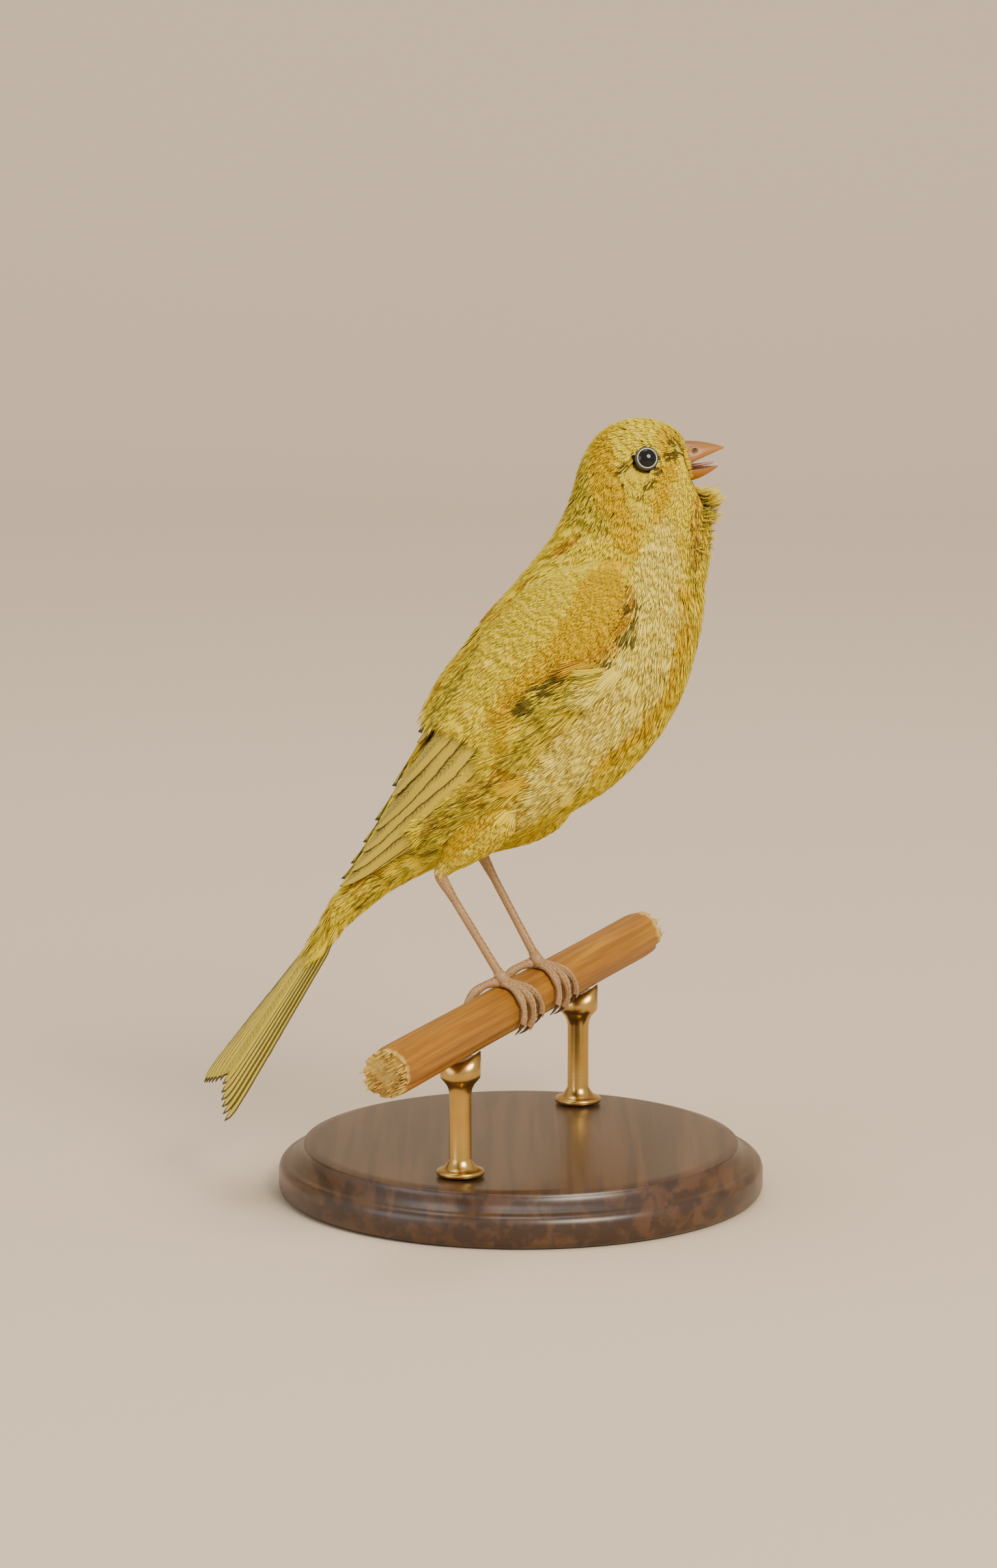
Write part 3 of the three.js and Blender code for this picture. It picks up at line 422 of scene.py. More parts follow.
def thigh_point(leg, down, angle, lift=0.0):
    """A point on a thigh, in metres. Down runs from its top to the heel."""
    down, angle, lift = np.broadcast_arrays(np.asarray(down, float), angle, lift)
    up = THIGH_LENGTH - down
    radius = read_at(up, THIGH)[0] + lift
    first = unit(np.cross([0, 1, 0], leg["thigh"]))
    second = np.cross(leg["thigh"], first)
    c, s = np.cos(np.radians(angle))[..., None], np.sin(np.radians(angle))[..., None]
    middle = leg["heel"] + up[..., None] * leg["thigh"]
    return metres(middle + radius[..., None] * (first * c + second * s))


def baked(piece):
    """The piece with its modifiers worked into a plain mesh."""
    graph = bpy.context.evaluated_depsgraph_get()
    mesh = bpy.data.meshes.new_from_object(piece.evaluated_get(graph))
    piece.modifiers.clear()
    piece.data = mesh
    mesh.name = piece.name
    return piece


u = np.linspace(0, TAIL_ROOT + 0.6, 190)[:, None]
skin_parts = [loft(plumage(u, circle(120, 360)[None], -skin_depth(u)))]
for side in (1, -1):
    u = np.linspace(SHOULDER[0, 0] + 0.15, SHOULDER[-1, 0], 40)[:, None]
    upper, lower, _ = read_at(u, SHOULDER)
    angle = upper + (lower - upper) * np.linspace(0.02, 0.98, 24)[None]
    top = plumage(u, side * angle, wing_lift(u, angle) - 0.75)
    skin_parts.append(loft(np.concatenate([top, plumage(u, side * angle[:, ::-1], -2.0)], 1)))
for leg in LEGS.values():
    down = np.linspace(1.6, THIGH_LENGTH - 1.5, 40)[:, None]
    skin_parts.append(loft(thigh_point(leg, down, circle(32, 360)[None], -0.45)))
skin = make_piece("skin", *gather(skin_parts))
remesh = skin.modifiers.new("one skin", "REMESH")
remesh.mode = "VOXEL"
remesh.voxel_size = 0.42 * MM
remesh.use_smooth_shade = True
relax = skin.modifiers.new("relax", "SMOOTH")
relax.factor = 0.5
relax.iterations = 4
baked(skin)
skin_points = np.zeros(len(skin.data.vertices) * 3)
skin.data.vertices.foreach_get("co", skin_points)
skin_points = skin_points.reshape(-1, 3)

# The skin is drawn back from both eyeballs, from the mouth between the halves of the bill as far
# as its corner, and beside the bill's root.
EYE_CENTRES = {}
for side_name in LEGS:
    low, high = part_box(f"eye_{side_name}")
    EYE_CENTRES[side_name] = np.array((low + high) / 2)
EYE_RADIUS = (high.z - low.z) / 2 / MM
EYE_SURFACE = plumage(3.7, 69)  # where the left eye's middle comes through
EYE_OUT = unit(EYE_SURFACE - EYE_CENTRES["left"])
MOUTH_CORNER = 24.8
MOUTH_LOW, MOUTH_HIGH = 87.95, 89.35
MOUTH_HALF = 2.3
FACE_MIDDLE = 88.8  # height of the bill's root

for side_name, leg in LEGS.items():
    arm = skin_points - EYE_CENTRES[side_name]
    reach = np.linalg.norm(arm, axis=1)
    room = (EYE_RADIUS + 0.12) * MM
    out = EYE_OUT * [1, leg["side"], 1]
    inside = (reach < room) & (arm @ out > 0)
    skin_points[inside] -= out * ((room - reach[inside]) * 2.2)[:, None]
x, y, z = (skin_points / MM - [0, 0, PERCH_AXIS]).T
beside = smooth_step(1, 0.4, np.abs(z - FACE_MIDDLE) / 3.2) * smooth_step(24.4, 25.4, x)
skin_points[:, 0] -= np.maximum(x - 25.2 - 0.25 * (z - FACE_MIDDLE), 0) * beside * MM
x = skin_points[:, 0] / MM
off_middle = np.abs(z - (MOUTH_LOW + MOUTH_HIGH) / 2) * 2 / (MOUTH_HIGH - MOUTH_LOW)
room = smooth_step(1, 0.6, off_middle) * smooth_step(1.15, 0.85, np.abs(y) / MOUTH_HALF)
skin_points[:, 0] -= np.maximum(x - MOUTH_CORNER, 0) * room * MM
skin.data.vertices.foreach_set("co", skin_points.ravel())

# Each point of the skin takes the markings of the plumage's nearest place.
u, angle = (g.ravel() for g in np.meshgrid(np.linspace(0, 17.6, 240), np.linspace(-180, 180, 181)))
places = kdtree.KDTree(len(u))
for i, point in enumerate(plumage(u, angle)):
    places.insert(point, i)
places.balance()
nearest = np.array([places.find(point)[1] for point in skin_points])
gold, cream_and_highlight, olive, ink_and_shade, rust_and_shade = markings(u[nearest], angle[nearest]).T
store_colour(skin, "Marks", [gold, cream_and_highlight, olive * 0.7, ink_and_shade * 0.3])
# the skin takes a little of the barbs' painted root shade
store_colour(skin, "Barb", [0 * rust_and_shade + 0.4, 0 * rust_and_shade + 0.42, rust_and_shade * 0.6, 0 * rust_and_shade])
finish_piece(skin, plumage_skin, "plumage",
             "head", "neck", "torso", "rump", "thigh_right", "thigh_left")

# Contour feathers of the whole body. Each is a fan of loose barbs, rooted in the skin and lying
# back over the next ones; they are smallest on the face, and stand out at the singing throat.
FEATHER_LENGTHS = np.array([  # a place along the body, the lengths on the back and on the breast
    [0, 1.3, 1.4], [1.5, 1.9, 2.2], [3, 2.4, 3.4], [4.5, 2.9, 4.4], [6, 3.6, 5.2], [7.5, 4.4, 6.2],
    [9, 5.2, 7.2], [11, 5.8, 8.0], [13, 6.2, 8.0], [15, 6.6, 7.6], [17, 9.0, 9.0], [18, 9.5, 9.5],
])
WING_OUTER = np.array([  # the coverts' lower edge, in degrees from the back's middle
    [7.6, 84], [8.2, 92], [8.5, 96], [8.95, 95], [9.3, 93], [9.65, 90], [10.05, 85], [10.4, 80],
    [11.2, 75], [12.2, 80], [13.35, 75], [13.95, 71], [14.6, 65], [15.35, 57], [15.9, 40],
    [16.2, 20],
])
WING_INNER = np.array([  # their upper edge
    [7.6, 84], [8, 66], [8.7, 42], [9.25, 30], [9.85, 22], [10.5, 12], [11.2, 6], [12, 4],
    [15.5, 6], [16.2, 20],
])
BARB_RUN = np.repeat([0, 0.4, 0.84, 1.0], [3, 3, 3, 1])  # the ten points of a barb, root to tip
BARB_SIDE = np.array([-0.7, 0, 0.7, -1, 0, 1, -0.95, 0, 0.95, 0])
BARB_RIDGE = np.array([0, 0.3, 0, 0, 0.36, 0, 0, 0.3, 0, 0])
BARB_QUADS = np.array([
    [a, a + 3, b + 3, b] for a, b in ((0, 1), (1, 2), (2, 0), (3, 4), (4, 5), (5, 3))])
BARB_TRIS = np.array([[6, 9, 7], [7, 9, 8], [8, 9, 6], [0, 1, 2]])
rng = np.random.default_rng(41)


def plumage_ways(u, angle):
    """The way along the plumage and the way round it, for one station and for one degree in
    millimetres, and the way out of it."""
    along = (plumage(u + 0.02, angle) - plumage(u - 0.02, angle)) / (0.04 * MM)
    around = (plumage(u, angle + 0.5) - plumage(u, angle - 0.5)) / MM
    return along, around, unit(np.cross(around, along))


def steps(way, along, around):
    """A way over the plumage as steps of u and degrees in 1 mm."""
    g11, g12, g22 = (np.sum(p * q, -1) for p, q in ((along, along), (along, around), (around, around)))
    b1, b2 = np.sum(way * along, -1), np.sum(way * around, -1)
    area = g11 * g22 - g12**2
    return (g22 * b1 - g12 * b2) / area, (g11 * b2 - g12 * b1) / area


def barb_fans(length, width, low, high, count):
    """Feathers as fans of barbs: where each barb lies across its feather, from -1 to 1, and the
    places of its points along the feather, across it and up, in millimetres."""
    total = len(length)
    low, high = (np.broadcast_to(v, total)[:, None] for v in (low, high))
    k = np.linspace(-1, 1, count) + rng.uniform(-0.5, 0.5, (total, count)) / count
    reach = length[:, None] * (1 - 0.22 * k**2) * rng.uniform(0.82, 1.08, k.shape)
    half = (1.1 * width[:, None] * rng.uniform(0.8, 1.3, k.shape) / count)[..., None]
    top = high + rng.normal(0, 0.05, k.shape) - 0.16 * k**2 * width[:, None]
    bend = (rng.normal(0, 0.06, total) * length)[:, None, None] * BARB_RUN**2
    x = reach[..., None] * BARB_RUN
    w = (width[:, None] * k)[..., None] * (0.3 + 0.7 * BARB_RUN**0.8) + bend + half * BARB_SIDE
    h = low[..., None] + (top - low)[..., None] * BARB_RUN**0.8 + half * BARB_RIDGE
    return k, x, w, h


def store_uv(piece, name, values):
    """A UV map from one place for each point."""
    corners = np.zeros(len(piece.data.loops), np.int32)
    piece.data.loops.foreach_get("vertex_index", corners)
    layer = piece.data.uv_layers.new(name=name)
    layer.data.foreach_set("uv", np.asarray(values, np.float32)[corners].ravel())


def coat_piece(name, fans, points, marks, u, angle):
    """A coat as one mesh, whose feathers are rooted at u and angle. Each barb has its own draw
    from its feather's markings, and one in the olive parts has a dark hatch streak of painted shade
    down its middle."""
    k, x, w, _ = fans
    total, count = k.shape
    starts = (np.arange(total * count) * len(BARB_RUN))[:, None, None]
    quads, tris = (BARB_QUADS + starts).reshape(-1, 4), (BARB_TRIS + starts).reshape(-1, 3)
    piece = make_piece(name, points.reshape(-1, 3), quads, tris)
    drawn = marks[:, None] + rng.normal(0, 0.1, (total, 1, 5)) + rng.normal(0, 0.07, (total, count, 5))
    drawn = smooth_step(0.3, 0.7, drawn) * (marks[:, None] > 0.03)
    gold, cream_and_highlight, olive, ink_and_shade, rust_and_shade = np.moveaxis(drawn, -1, 0)
    streaked = (rng.random((total, 1)) < 0.8) & (np.abs(k - rng.uniform(-0.3, 0.3, (total, 1))) < 0.2)
    ink_and_shade = np.maximum(ink_and_shade * (rng.random(k.shape) < 0.8), olive * streaked * 0.78)
    rust_and_shade = rust_and_shade * (rng.random(k.shape) < 0.7)
    tone = rng.uniform(0.25, 0.75, (total, 1)) + rng.normal(0, 0.14, k.shape)
    pale = (rng.random((total, 1)) < 0.3) * (rng.random(k.shape) < 0.4)
    pale = pale * rng.uniform(0.2, 0.9, (total, 1)) * np.clip(0.35 + cream_and_highlight, 0, 1)
    each = np.ones(len(BARB_RUN))
    marks = (gold, cream_and_highlight * 0.85, olive * 0.3, ink_and_shade * 0.9)
    store_colour(piece, "Marks", [c[..., None] * each for c in marks])
    tone, rust_and_shade, pale = (c[..., None] * each for c in (tone, rust_and_shade, pale))
    # the run along each barb sets its painted root shade
    store_colour(piece, "Barb", [tone, 0 * tone + BARB_RUN, rust_and_shade, pale])
    patch = np.stack([(angle + 190) / 380, (u + 0.6) / 19.6], -1)
    small = np.stack([w / np.abs(w).max(), x / x.max() * 2 - 1], -1) * 0.0014
    store_uv(piece, "OFBake", (patch[:, None, None] + small).reshape(-1, 2))
    finish_piece(piece, soft_feather, "plumage")


def body_coat(name, u, angle, length, width, turn, low, high, count, over=None):
    """A coat that lies on the plumage's form, or on another form over it. The feathers' lie is
    turned up towards the back by so many degrees."""
    fans = barb_fans(length, width, low, high, count)
    _, x, w, h = fans
    along, around, out = plumage_ways(u, angle)
    turn = np.radians(turn)[..., None] * np.sign(angle)[..., None]
    lie = unit(along) * np.cos(turn) - unit(np.cross(along, out)) * np.sin(turn)
    (u_x, a_x), (u_w, a_w) = (steps(way, along, around) for way in (lie, np.cross(out, lie)))
    where_u, where_a = (
        start[:, None, None] + x * ahead[:, None, None] + w * aside[:, None, None]
        for start, ahead, aside in ((u, u_x, u_w), (angle, a_x, a_w)))
    points = plumage(where_u, where_a, h if over is None else h + over(where_u, where_a))
    marks = markings(u + 0.55 * length * u_x, angle + 0.55 * length * a_x)
    coat_piece(name, fans, points, marks, u, angle)


def run_along(points):
    """How far along their line points lie, in millimetres."""
    return np.append(0, np.cumsum(np.linalg.norm(np.diff(points / MM, axis=0), axis=1)))


def coat_places(first, last):
    """Roots in staggered rows round the body, as close as the feathers there are short."""
    places, u, row = [], first, 0
    while u < last:
        turns = np.linspace(-180, 180, 145)
        run = run_along(plumage(u, turns))
        step = 0.33 * read_at(u, FEATHER_LENGTHS)[0] ** 0.9
        step *= np.interp(u, [0, 3, 6, 9], [0.85, 1.0, 1.05, 1.1])
        count = max(int(run[-1] / (1.12 * step)), 8)
        at = (np.arange(count) + 0.5 * (row % 2) + rng.uniform(-0.28, 0.28, count)) / count % 1
        angle = np.interp(at * run[-1], run, turns)
        along = np.linalg.norm(plumage(u + 0.05, 90) - plumage(u - 0.05, 90)) / (0.1 * MM)
        places.append(np.stack([u + rng.uniform(-0.25, 0.25, count) * step / along, angle], -1))
        u += step / along
        row += 1
    return np.vstack(places).T


def rooted(u, angle):
    """Places with feathers: clear of the wings, the eyes and the mouth."""
    a = np.abs(angle)
    outer, inner = read_at(u, WING_OUTER)[0], read_at(u, WING_INNER)[0]
    wing = (u > 8.0) & (u < 15.8) & (a < outer - 5) & (a > inner + 3)
    eye = np.linalg.norm(plumage(u, a) - EYE_SURFACE, axis=1) < 2.0 * MM
    mouth = (u < 0.62 - 0.5 * ((a - 92) / 34) ** 2) & (a > 52) & (a < 132)
    return ~(wing | eye | mouth)


def feather_length(u, angle):
    """A feather's length, cut short where it would lie over the eye's rim."""
    a = np.abs(angle)
    back, breast = read_at(u, FEATHER_LENGTHS)
    length = back + (breast - back) * smooth_step(40, 140, a)
    length *= 1 - 0.3 * np.exp(-((u - 3.4) / 1.6) ** 2 - ((a - 78) / 26) ** 2)
    length *= rng.uniform(0.85, 1.15, len(u))
    arm = (EYE_SURFACE - plumage(u, a)) / MM
    ahead = np.sum(arm * unit(plumage(u + 0.04, a) - plumage(u, a)), -1)
    aside = np.sqrt(np.maximum(np.sum(arm**2, -1) - ahead**2, 0))
    room = ahead - np.sqrt(np.maximum(EYE_ROOM**2 - aside**2, 0))
    cut = (aside < EYE_ROOM) & (ahead > 0)
    return np.where(cut, np.minimum(length, np.maximum(room * 1.1, 0.35)), length)


EYE_ROOM = 1.95  # from the eye's middle to the nearest feather's tip
COAT_REGIONS = {  # where it starts and ends along the body, the barbs of a feather
    "head": (-0.15, 4.1, 8),
    "nape": (4.1, 7.2, 11),
    "breast": (7.2, 10.2, 13),
    "belly": (10.2, 14.0, 14),
    "rump": (14.0, 17.2, 13),
}
for region, (first, last, count) in COAT_REGIONS.items():
    u, angle = coat_places(first, last)
    keep = rooted(u, angle)
    u, angle = u[keep], angle[keep]
    length = feather_length(u, angle)
    a = np.abs(angle)
    throat = smooth_step(118, 150, a) * smooth_step(1.2, 2.6, u) * (1 - smooth_step(6.4, 8, u))
    high = 0.05 + 0.028 * length + throat * rng.uniform(0.0, 0.8, len(u))
    high -= 0.25 * smooth_step(14, 17, u)
    flank = np.exp(-((a - 95) / 36) ** 2) * smooth_step(8.5, 11, u) * (1 - smooth_step(13.5, 16, u))
    lie = 24 * flank + rng.normal(0, 5, len(u))
    width = length * np.interp(u, [14.5, 16.8], [0.3, 0.18])
    body_coat(f"coat_{region}", u, angle, length, width, lie, -skin_depth(u) - 0.15, high, count)


# Bristly feathers round the bill's root, which point forward and hide its edge
def along_axes(root, *moves):
    """The points of barbs from their feathers' roots, moved in millimetres along each axis."""
    return root[:, None, None] + MM * sum(far[..., None] * way[:, None, None] for far, way in moves)


count = 120
u, angle = rng.uniform(0.5, 0.85, count), rng.uniform(46, 134, count) * rng.choice([-1, 1], count)
u -= 0.4 * ((np.abs(angle) - 90) / 44) ** 2
lengths = rng.uniform(0.6, 1.2, count)
fans = barb_fans(lengths, 0.2 * lengths, 0, 0, 5)
_, x, w, h = fans
root = plumage(u, angle, -0.2)
ahead = unit(metres(np.array([31.5, 0, 89.3])) - root)
aside = unit(np.cross(root * [0, 1, 1] - metres(np.array([0, 0, 89.0])), ahead))
rise = 0.14 * np.sin(math.pi * 0.8 * x / lengths[:, None, None]) + h
points = along_axes(root, (x, ahead), (w, aside), (rise, np.cross(ahead, aside)))
marks = np.tile([0.55, 0, 0.3, 0.32, 0.35], (count, 1))
coat_piece("coat_bristles", fans, points, marks, u, angle)

# Raised feathers of the singing throat. They stand out from the breast's middle line in rows,
# and the short, low rows are painted dark as the shade between the rows.
THROAT_ROWS = [  # a place along the body, spread to each side, length, rise of the tips, painted shade
    (0.95, 14, 1.6, -0.5, 0.0), (1.3, 20, 2.6, 0.2, 0), (1.55, 24, 3.2, 0.7, 0.1),
    (1.85, 24, 2.5, 0.2, 0.9), (2.15, 30, 3.9, 1.3, 0), (2.45, 32, 3.6, 1.0, 0.1),
    (2.8, 32, 2.4, 0.0, 0.9), (3.2, 38, 3.0, 0.4, 0.0), (3.55, 38, 2.6, 0.0, 0.2),
    (3.95, 38, 1.9, -0.5, 0.9), (4.4, 40, 2.3, -0.4, 0.0), (4.8, 40, 1.8, -0.9, 0.8),
    (5.3, 40, 2.0, -1.0, 0.0), (5.8, 36, 1.6, -1.3, 0.7), (6.3, 30, 1.6, -1.5, 0.0),
]
drawn = []
for place, spread, reach, rise, row_shade in THROAT_ROWS:
    count = int(13 + spread / 4)
    drawn.append([
        place + rng.uniform(-0.12, 0.12, count),
        np.linspace(-spread, spread, count) + rng.uniform(-2.5, 2.5, count),
        reach * rng.uniform(0.75, 1.12, count),
        rise + rng.normal(0, 0.25, count),
        np.full(count, row_shade),
    ])
roots, turns, lengths, rises, dark = np.concatenate(drawn, 1)
fans = barb_fans(lengths, 0.26 * lengths, 0, 0, 9)
_, x, w, h = fans
c, s = np.cos(np.radians(turns)), np.sin(np.radians(turns))
ahead, aside = np.stack([c, -s, 0 * c], -1), np.stack([-s, -c, 0 * c], -1)
run = x / lengths[:, None, None]
rise = rises[:, None, None] * run**2 - 0.35 * np.sin(math.pi * run) + h
up = np.tile([0, 0, 1], (len(roots), 1))
points = along_axes(plumage(roots, 180 + turns, -0.9), (x, ahead), (w, aside), (rise, up))
gold, rust_and_shade = rng.uniform(0.0, 0.5, len(roots)), rng.uniform(0.0, 0.45, len(roots)) * (1 - dark)
# the low rows' painted shade goes into the ink channel
marks = np.stack([gold, 0 * roots + 0.5, 0 * roots, dark * 0.62, rust_and_shade], -1)
coat_piece("coat_throat", fans, points, marks, roots, np.where(turns > 0, turns - 180, turns + 180))


# The wings' small coverts and scapulars, golden at the bend and paler behind. They grow longer
# down the wing and lie over the roots of the flight feathers.
def over_wing(u, angle):
    vanes = 0.5 + smooth_step(10.2, 11.5, u) * (0.85 + 0.5 * np.clip(1 - np.abs(angle) / 75, 0, 1))
    return np.maximum(wing_lift(u, angle), vanes)


for side_name, leg in LEGS.items():
    rows, u = [], 7.35
    while u < 11.5:
        outer, inner = read_at(u + 0.28, WING_OUTER)[0], read_at(u + 0.28, WING_INNER)[0]
        wide = np.linalg.norm(plumage(u, outer) - plumage(u, inner)) / MM
        step = 0.3 * np.interp(u, [7.7, 9, 10.5, 12], [2.4, 3.2, 4.6, 6.0]) ** 0.9
        count = int(wide / (0.95 * step)) + 2
        angle = np.linspace(inner + 0.5, outer + 1, count) + rng.uniform(-1.2, 1.2, count)
        rows.append([u + rng.uniform(-0.06, 0.06, count), angle])
        u += step / 8.2
    u, angle = np.concatenate(rows, 1)
    length = np.interp(u, [7.7, 9, 10.5, 12], [2.5, 3.4, 5.0, 6.8]) * rng.uniform(0.88, 1.14, len(u))
    turn = np.interp(angle, [15, 80], [3, 17]) + rng.normal(0, 4, len(u))
    body_coat(f"coat_wing_{side_name}", u, angle * leg["side"], length, 0.3 * length, turn,
              -1.0, 0.12 + 0.03 * length, 11, over_wing)

# The long, loose plumes of the flanks, which cover the wing's lower edge
for side_name, leg in LEGS.items():
    count = 230
    u = rng.uniform(9.5, 13.5, count)
    angle = read_at(u, WING_OUTER)[0] + rng.uniform(1, 17, count)
    length = rng.uniform(6.0, 9.8, count)
    high = rng.uniform(1.1, 2.3, count) * np.interp(u, [9.5, 11, 13.5], [0.9, 1.1, 0.8])
    turn = np.interp(u, [9.5, 11.5, 13.5], [30, 24, 14]) + rng.normal(0, 5, count)
    body_coat(f"coat_flank_{side_name}", u, angle * leg["side"], length, 0.17 * length, turn,
              -0.9, high, 12)

# Short feathers down each thigh to the heel
for side_name, leg in LEGS.items():
    rows = []
    for down in np.arange(0.9, THIGH_LENGTH - 1.8, 0.95):
        count = max(int(2 * math.pi * read_at(THIGH_LENGTH - down, THIGH)[0] / 1.1), 7)
        angle = (np.arange(count) + rng.uniform(-0.3, 0.3, count)) * 360 / count
        rows.append([down + rng.uniform(-0.3, 0.3, count), angle])
    down, angle = np.concatenate(rows, 1)
    length = np.interp(down, [3, 12, 18], [5, 4, 2.0]) * rng.uniform(0.85, 1.15, len(down))
    fans = barb_fans(length, 0.26 * length, -0.6, -0.02, 9)
    _, x, w, h = fans
    radius = read_at(THIGH_LENGTH - down, THIGH)[0][:, None, None]
    turn = angle[:, None, None] - np.degrees(w / radius)
    points = thigh_point(leg, down[:, None, None] + x, turn, h)
    back = 0.5 - 0.5 * np.cos(np.radians(angle))
    gold = 0.95 * (1 - smooth_step(10, 16, down)) * smooth_step(0.3, 0.6, back)
    olive, rust_and_shade = 0.7 * smooth_step(0.75, 0.95, back), 0.3 * (1 - smooth_step(6, 12, down))
    marks = np.stack([gold, 0 * down + 0.3, olive, 0 * down, rust_and_shade], -1)
    patch_angle = angle * 38 / 360 + (-171 if side_name == "left" else 133)
    coat_piece(f"coat_thigh_{side_name}", fans, points, marks, 18.412 + 0.392 * down / 19, patch_angle)

# Flight feathers: closed vanes of stiff keratin on a raised shaft, lemon yellow on the outer web
# and olive on the inner one. The inmost lies on top, and each covers the edge of the next.
FLIGHT = [  # the middle of each, as places along the body and degrees from the back's middle
    [(10.2, 42), (10.8, 34), (11.4, 26), (11.95, 20), (12.35, 15)],
    [(10.6, 48), (11.3, 43), (12.0, 38), (12.6, 31), (13.05, 24), (13.45, 17)],
    [(10.8, 54), (11.5, 50), (12.1, 45), (12.7, 41), (13.3, 36), (13.85, 27), (14.25, 19)],
    [(11.0, 62), (11.7, 59), (12.4, 55), (13.0, 48), (13.6, 41), (14.3, 33), (14.85, 22)],
    [(11.1, 70), (11.9, 68), (12.7, 62), (13.4, 56), (14.1, 47), (14.9, 37), (15.5, 23)],
    [(11.1, 77), (11.9, 76), (12.9, 72), (13.7, 66), (14.5, 58), (15.3, 47), (16.05, 26)],
    [(11.2, 78), (12.2, 77), (13.2, 73), (14.2, 66), (15.0, 56), (15.7, 42)],
    [(11.2, 80), (12.2, 79), (13.2, 76), (14.1, 70), (15.0, 58)],
]
FLIGHT_HALF = [2.1, 2.2, 2.2, 2.1, 2.05, 1.95, 1.8, 1.7]
VANE_THICKNESS = 0.14
VANE_POINTS = (40, 13)  # along it and across it


def vane_form(from_end, ragged, arch, draw):
    """A vane's places along it and across it, how far its rounded end has come, its outline's
    share of its half width, and its rise between its edges."""
    s, w = np.linspace(0, 1, VANE_POINTS[0])[:, None], np.linspace(-1, 1, VANE_POINTS[1])[None]
    end = np.clip((s - from_end) / (1 - from_end), 0, 1)
    edge = 1 + ragged * draw.normal(0, 1, VANE_POINTS) * (np.abs(w) > 0.9)
    share = w * np.sqrt(np.clip(1 - end**2.2, 0.004, 1)) * edge
    return s, w, end, share, arch * (1 - w**2) + 0.09 * np.exp(-(w / 0.1) ** 2)


def vane_parts(top, under, w, run, draw):
    """A vane's closed mesh, with UV across and along it, 50 mm to the unit, and its own tone."""
    mesh = loft(np.concatenate([top, under[:, ::-1]], 1))
    w = np.broadcast_to(w, top.shape[:2])
    across = np.concatenate([w, w[:, ::-1]], 1)
    uv = np.stack([0.5 + across / 2, np.broadcast_to(run, across.shape) / 50], -1).reshape(-1, 2)
    uv = np.vstack([uv, uv[:1], uv[-1:]])
    return mesh, uv, np.tile([draw.uniform(0, 1), run.max() / 50, 0, 1], (len(uv), 1))


def make_vanes(name, vanes, side):
    points, quads, tris = gather([v[0] for v in vanes])
    if side < 0:
        points, quads, tris = points * [1, -1, 1], quads[:, ::-1], tris[:, ::-1]
    piece = make_piece(name, points, quads, tris)
    store_uv(piece, "Vane", np.vstack([v[1] for v in vanes]))
    store_colour(piece, "Feather", np.vstack([v[2] for v in vanes]).T)
    return piece


# Vaned feather, closed satin barbs. The barb lines are drawn five times as coarse as the real
# ones so that they show; the inner web is olive between them, with dark hatching that is partly
# painted shade next to the edge of the feather over it, and the margins are dark and thin, painted
# shade of the gaps between vanes.
def vane_material(name, outer, inner, barb, edge_shade, web_from, rim):
    material, tree, place = new_material(
        name, "Vane", Roughness=0.6, Sheen_Weight=0.05, Specular_IOR_Level=0.22)
    split = add(tree, "SeparateXYZ", {0: place})
    feather = add(tree, "VertexColor", layer_name="Feather")
    own = add(tree, "SeparateColor", {0: feather})
    middle = add(tree, "Math", {0: split, 1: 0.5}, operation="SUBTRACT")
    far = add(tree, "Math", {0: middle}, operation="ABSOLUTE")
    slant = add(tree, "Math", {0: far, 1: -0.15, 2: split.outputs[1]}, operation="MULTIPLY_ADD")
    line = add(tree, "CombineXYZ", {0: slant, 1: far, 2: own})
    waves = {"Vector": line, "Scale": 16, "Distortion": 1.2, "Detail": 2, "Detail Scale": 3}
    barbs = add(tree, "TexWave", waves).outputs[1]
    stretched = add(tree, "Mapping", {0: line, 3: (26, 5, 40)})
    patches = add(tree, "TexNoise", {"Vector": stretched, "Scale": 1.0, "Detail": 2})
    web = add(tree, "MapRange", {0: split, 1: web_from, 2: web_from + 0.1})
    olive = add(tree, "Math", {0: web, 1: 0.55}, operation="MULTIPLY")
    ragged = add(tree, "MapRange", {0: patches, 1: 0.36, 2: 0.52})
    dark = add(tree, "MapRange", {0: barbs, 1: 0.5, 2: 0.8, 4: 0.85})
    # hatching: dark barbs on the inner web, partly painted shade next to the edge of the feather over
    # it
    hatch = add(tree, "Math", {0: ragged, 1: dark}, operation="MULTIPLY")
    hatch = add(tree, "Math", {0: hatch, 1: web}, operation="MULTIPLY")
    faint = add(tree, "MapRange", {0: barbs, 1: 0.3, 2: 1.0, 4: 0.16})
    # painted shade: a thin dark line along each vane's outer edge and round its tip
    edge = add(tree, "MapRange", {0: far, 1: rim, 2: rim + 0.04, 4: 0.9})
    outward = add(tree, "MapRange", {0: split, 1: 0.5, 2: 0.45})
    rest = add(tree, "Math", {0: own.outputs[1], 1: split.outputs[1]}, operation="SUBTRACT")
    near_tip = add(tree, "MapRange", {0: rest, 1: 0.09, 2: 0.06})
    seen = add(tree, "Math", {0: outward, 1: near_tip}, operation="MAXIMUM")
    edge = add(tree, "Math", {0: edge, 1: seen}, operation="MULTIPLY")
    tip = add(tree, "MapRange", {0: rest, 1: 0.012, 2: 0.006, 4: 0.9})
    edge = add(tree, "Math", {0: edge, 1: tip}, operation="MAXIMUM")
    shaft = add(tree, "MapRange", {0: far, 1: 0.035, 2: 0.015, 4: 0.55})
    tone = add(tree, "MapRange", {0: own, 3: 0.94, 4: 1.06})
    coats = [(olive, inner), (hatch, barb), (faint, inner), (edge, edge_shade), (shaft, "#7d6a2a")]
    surface(tree, outer, coats, (0.4, 0.00008, barbs), tone)
    return material


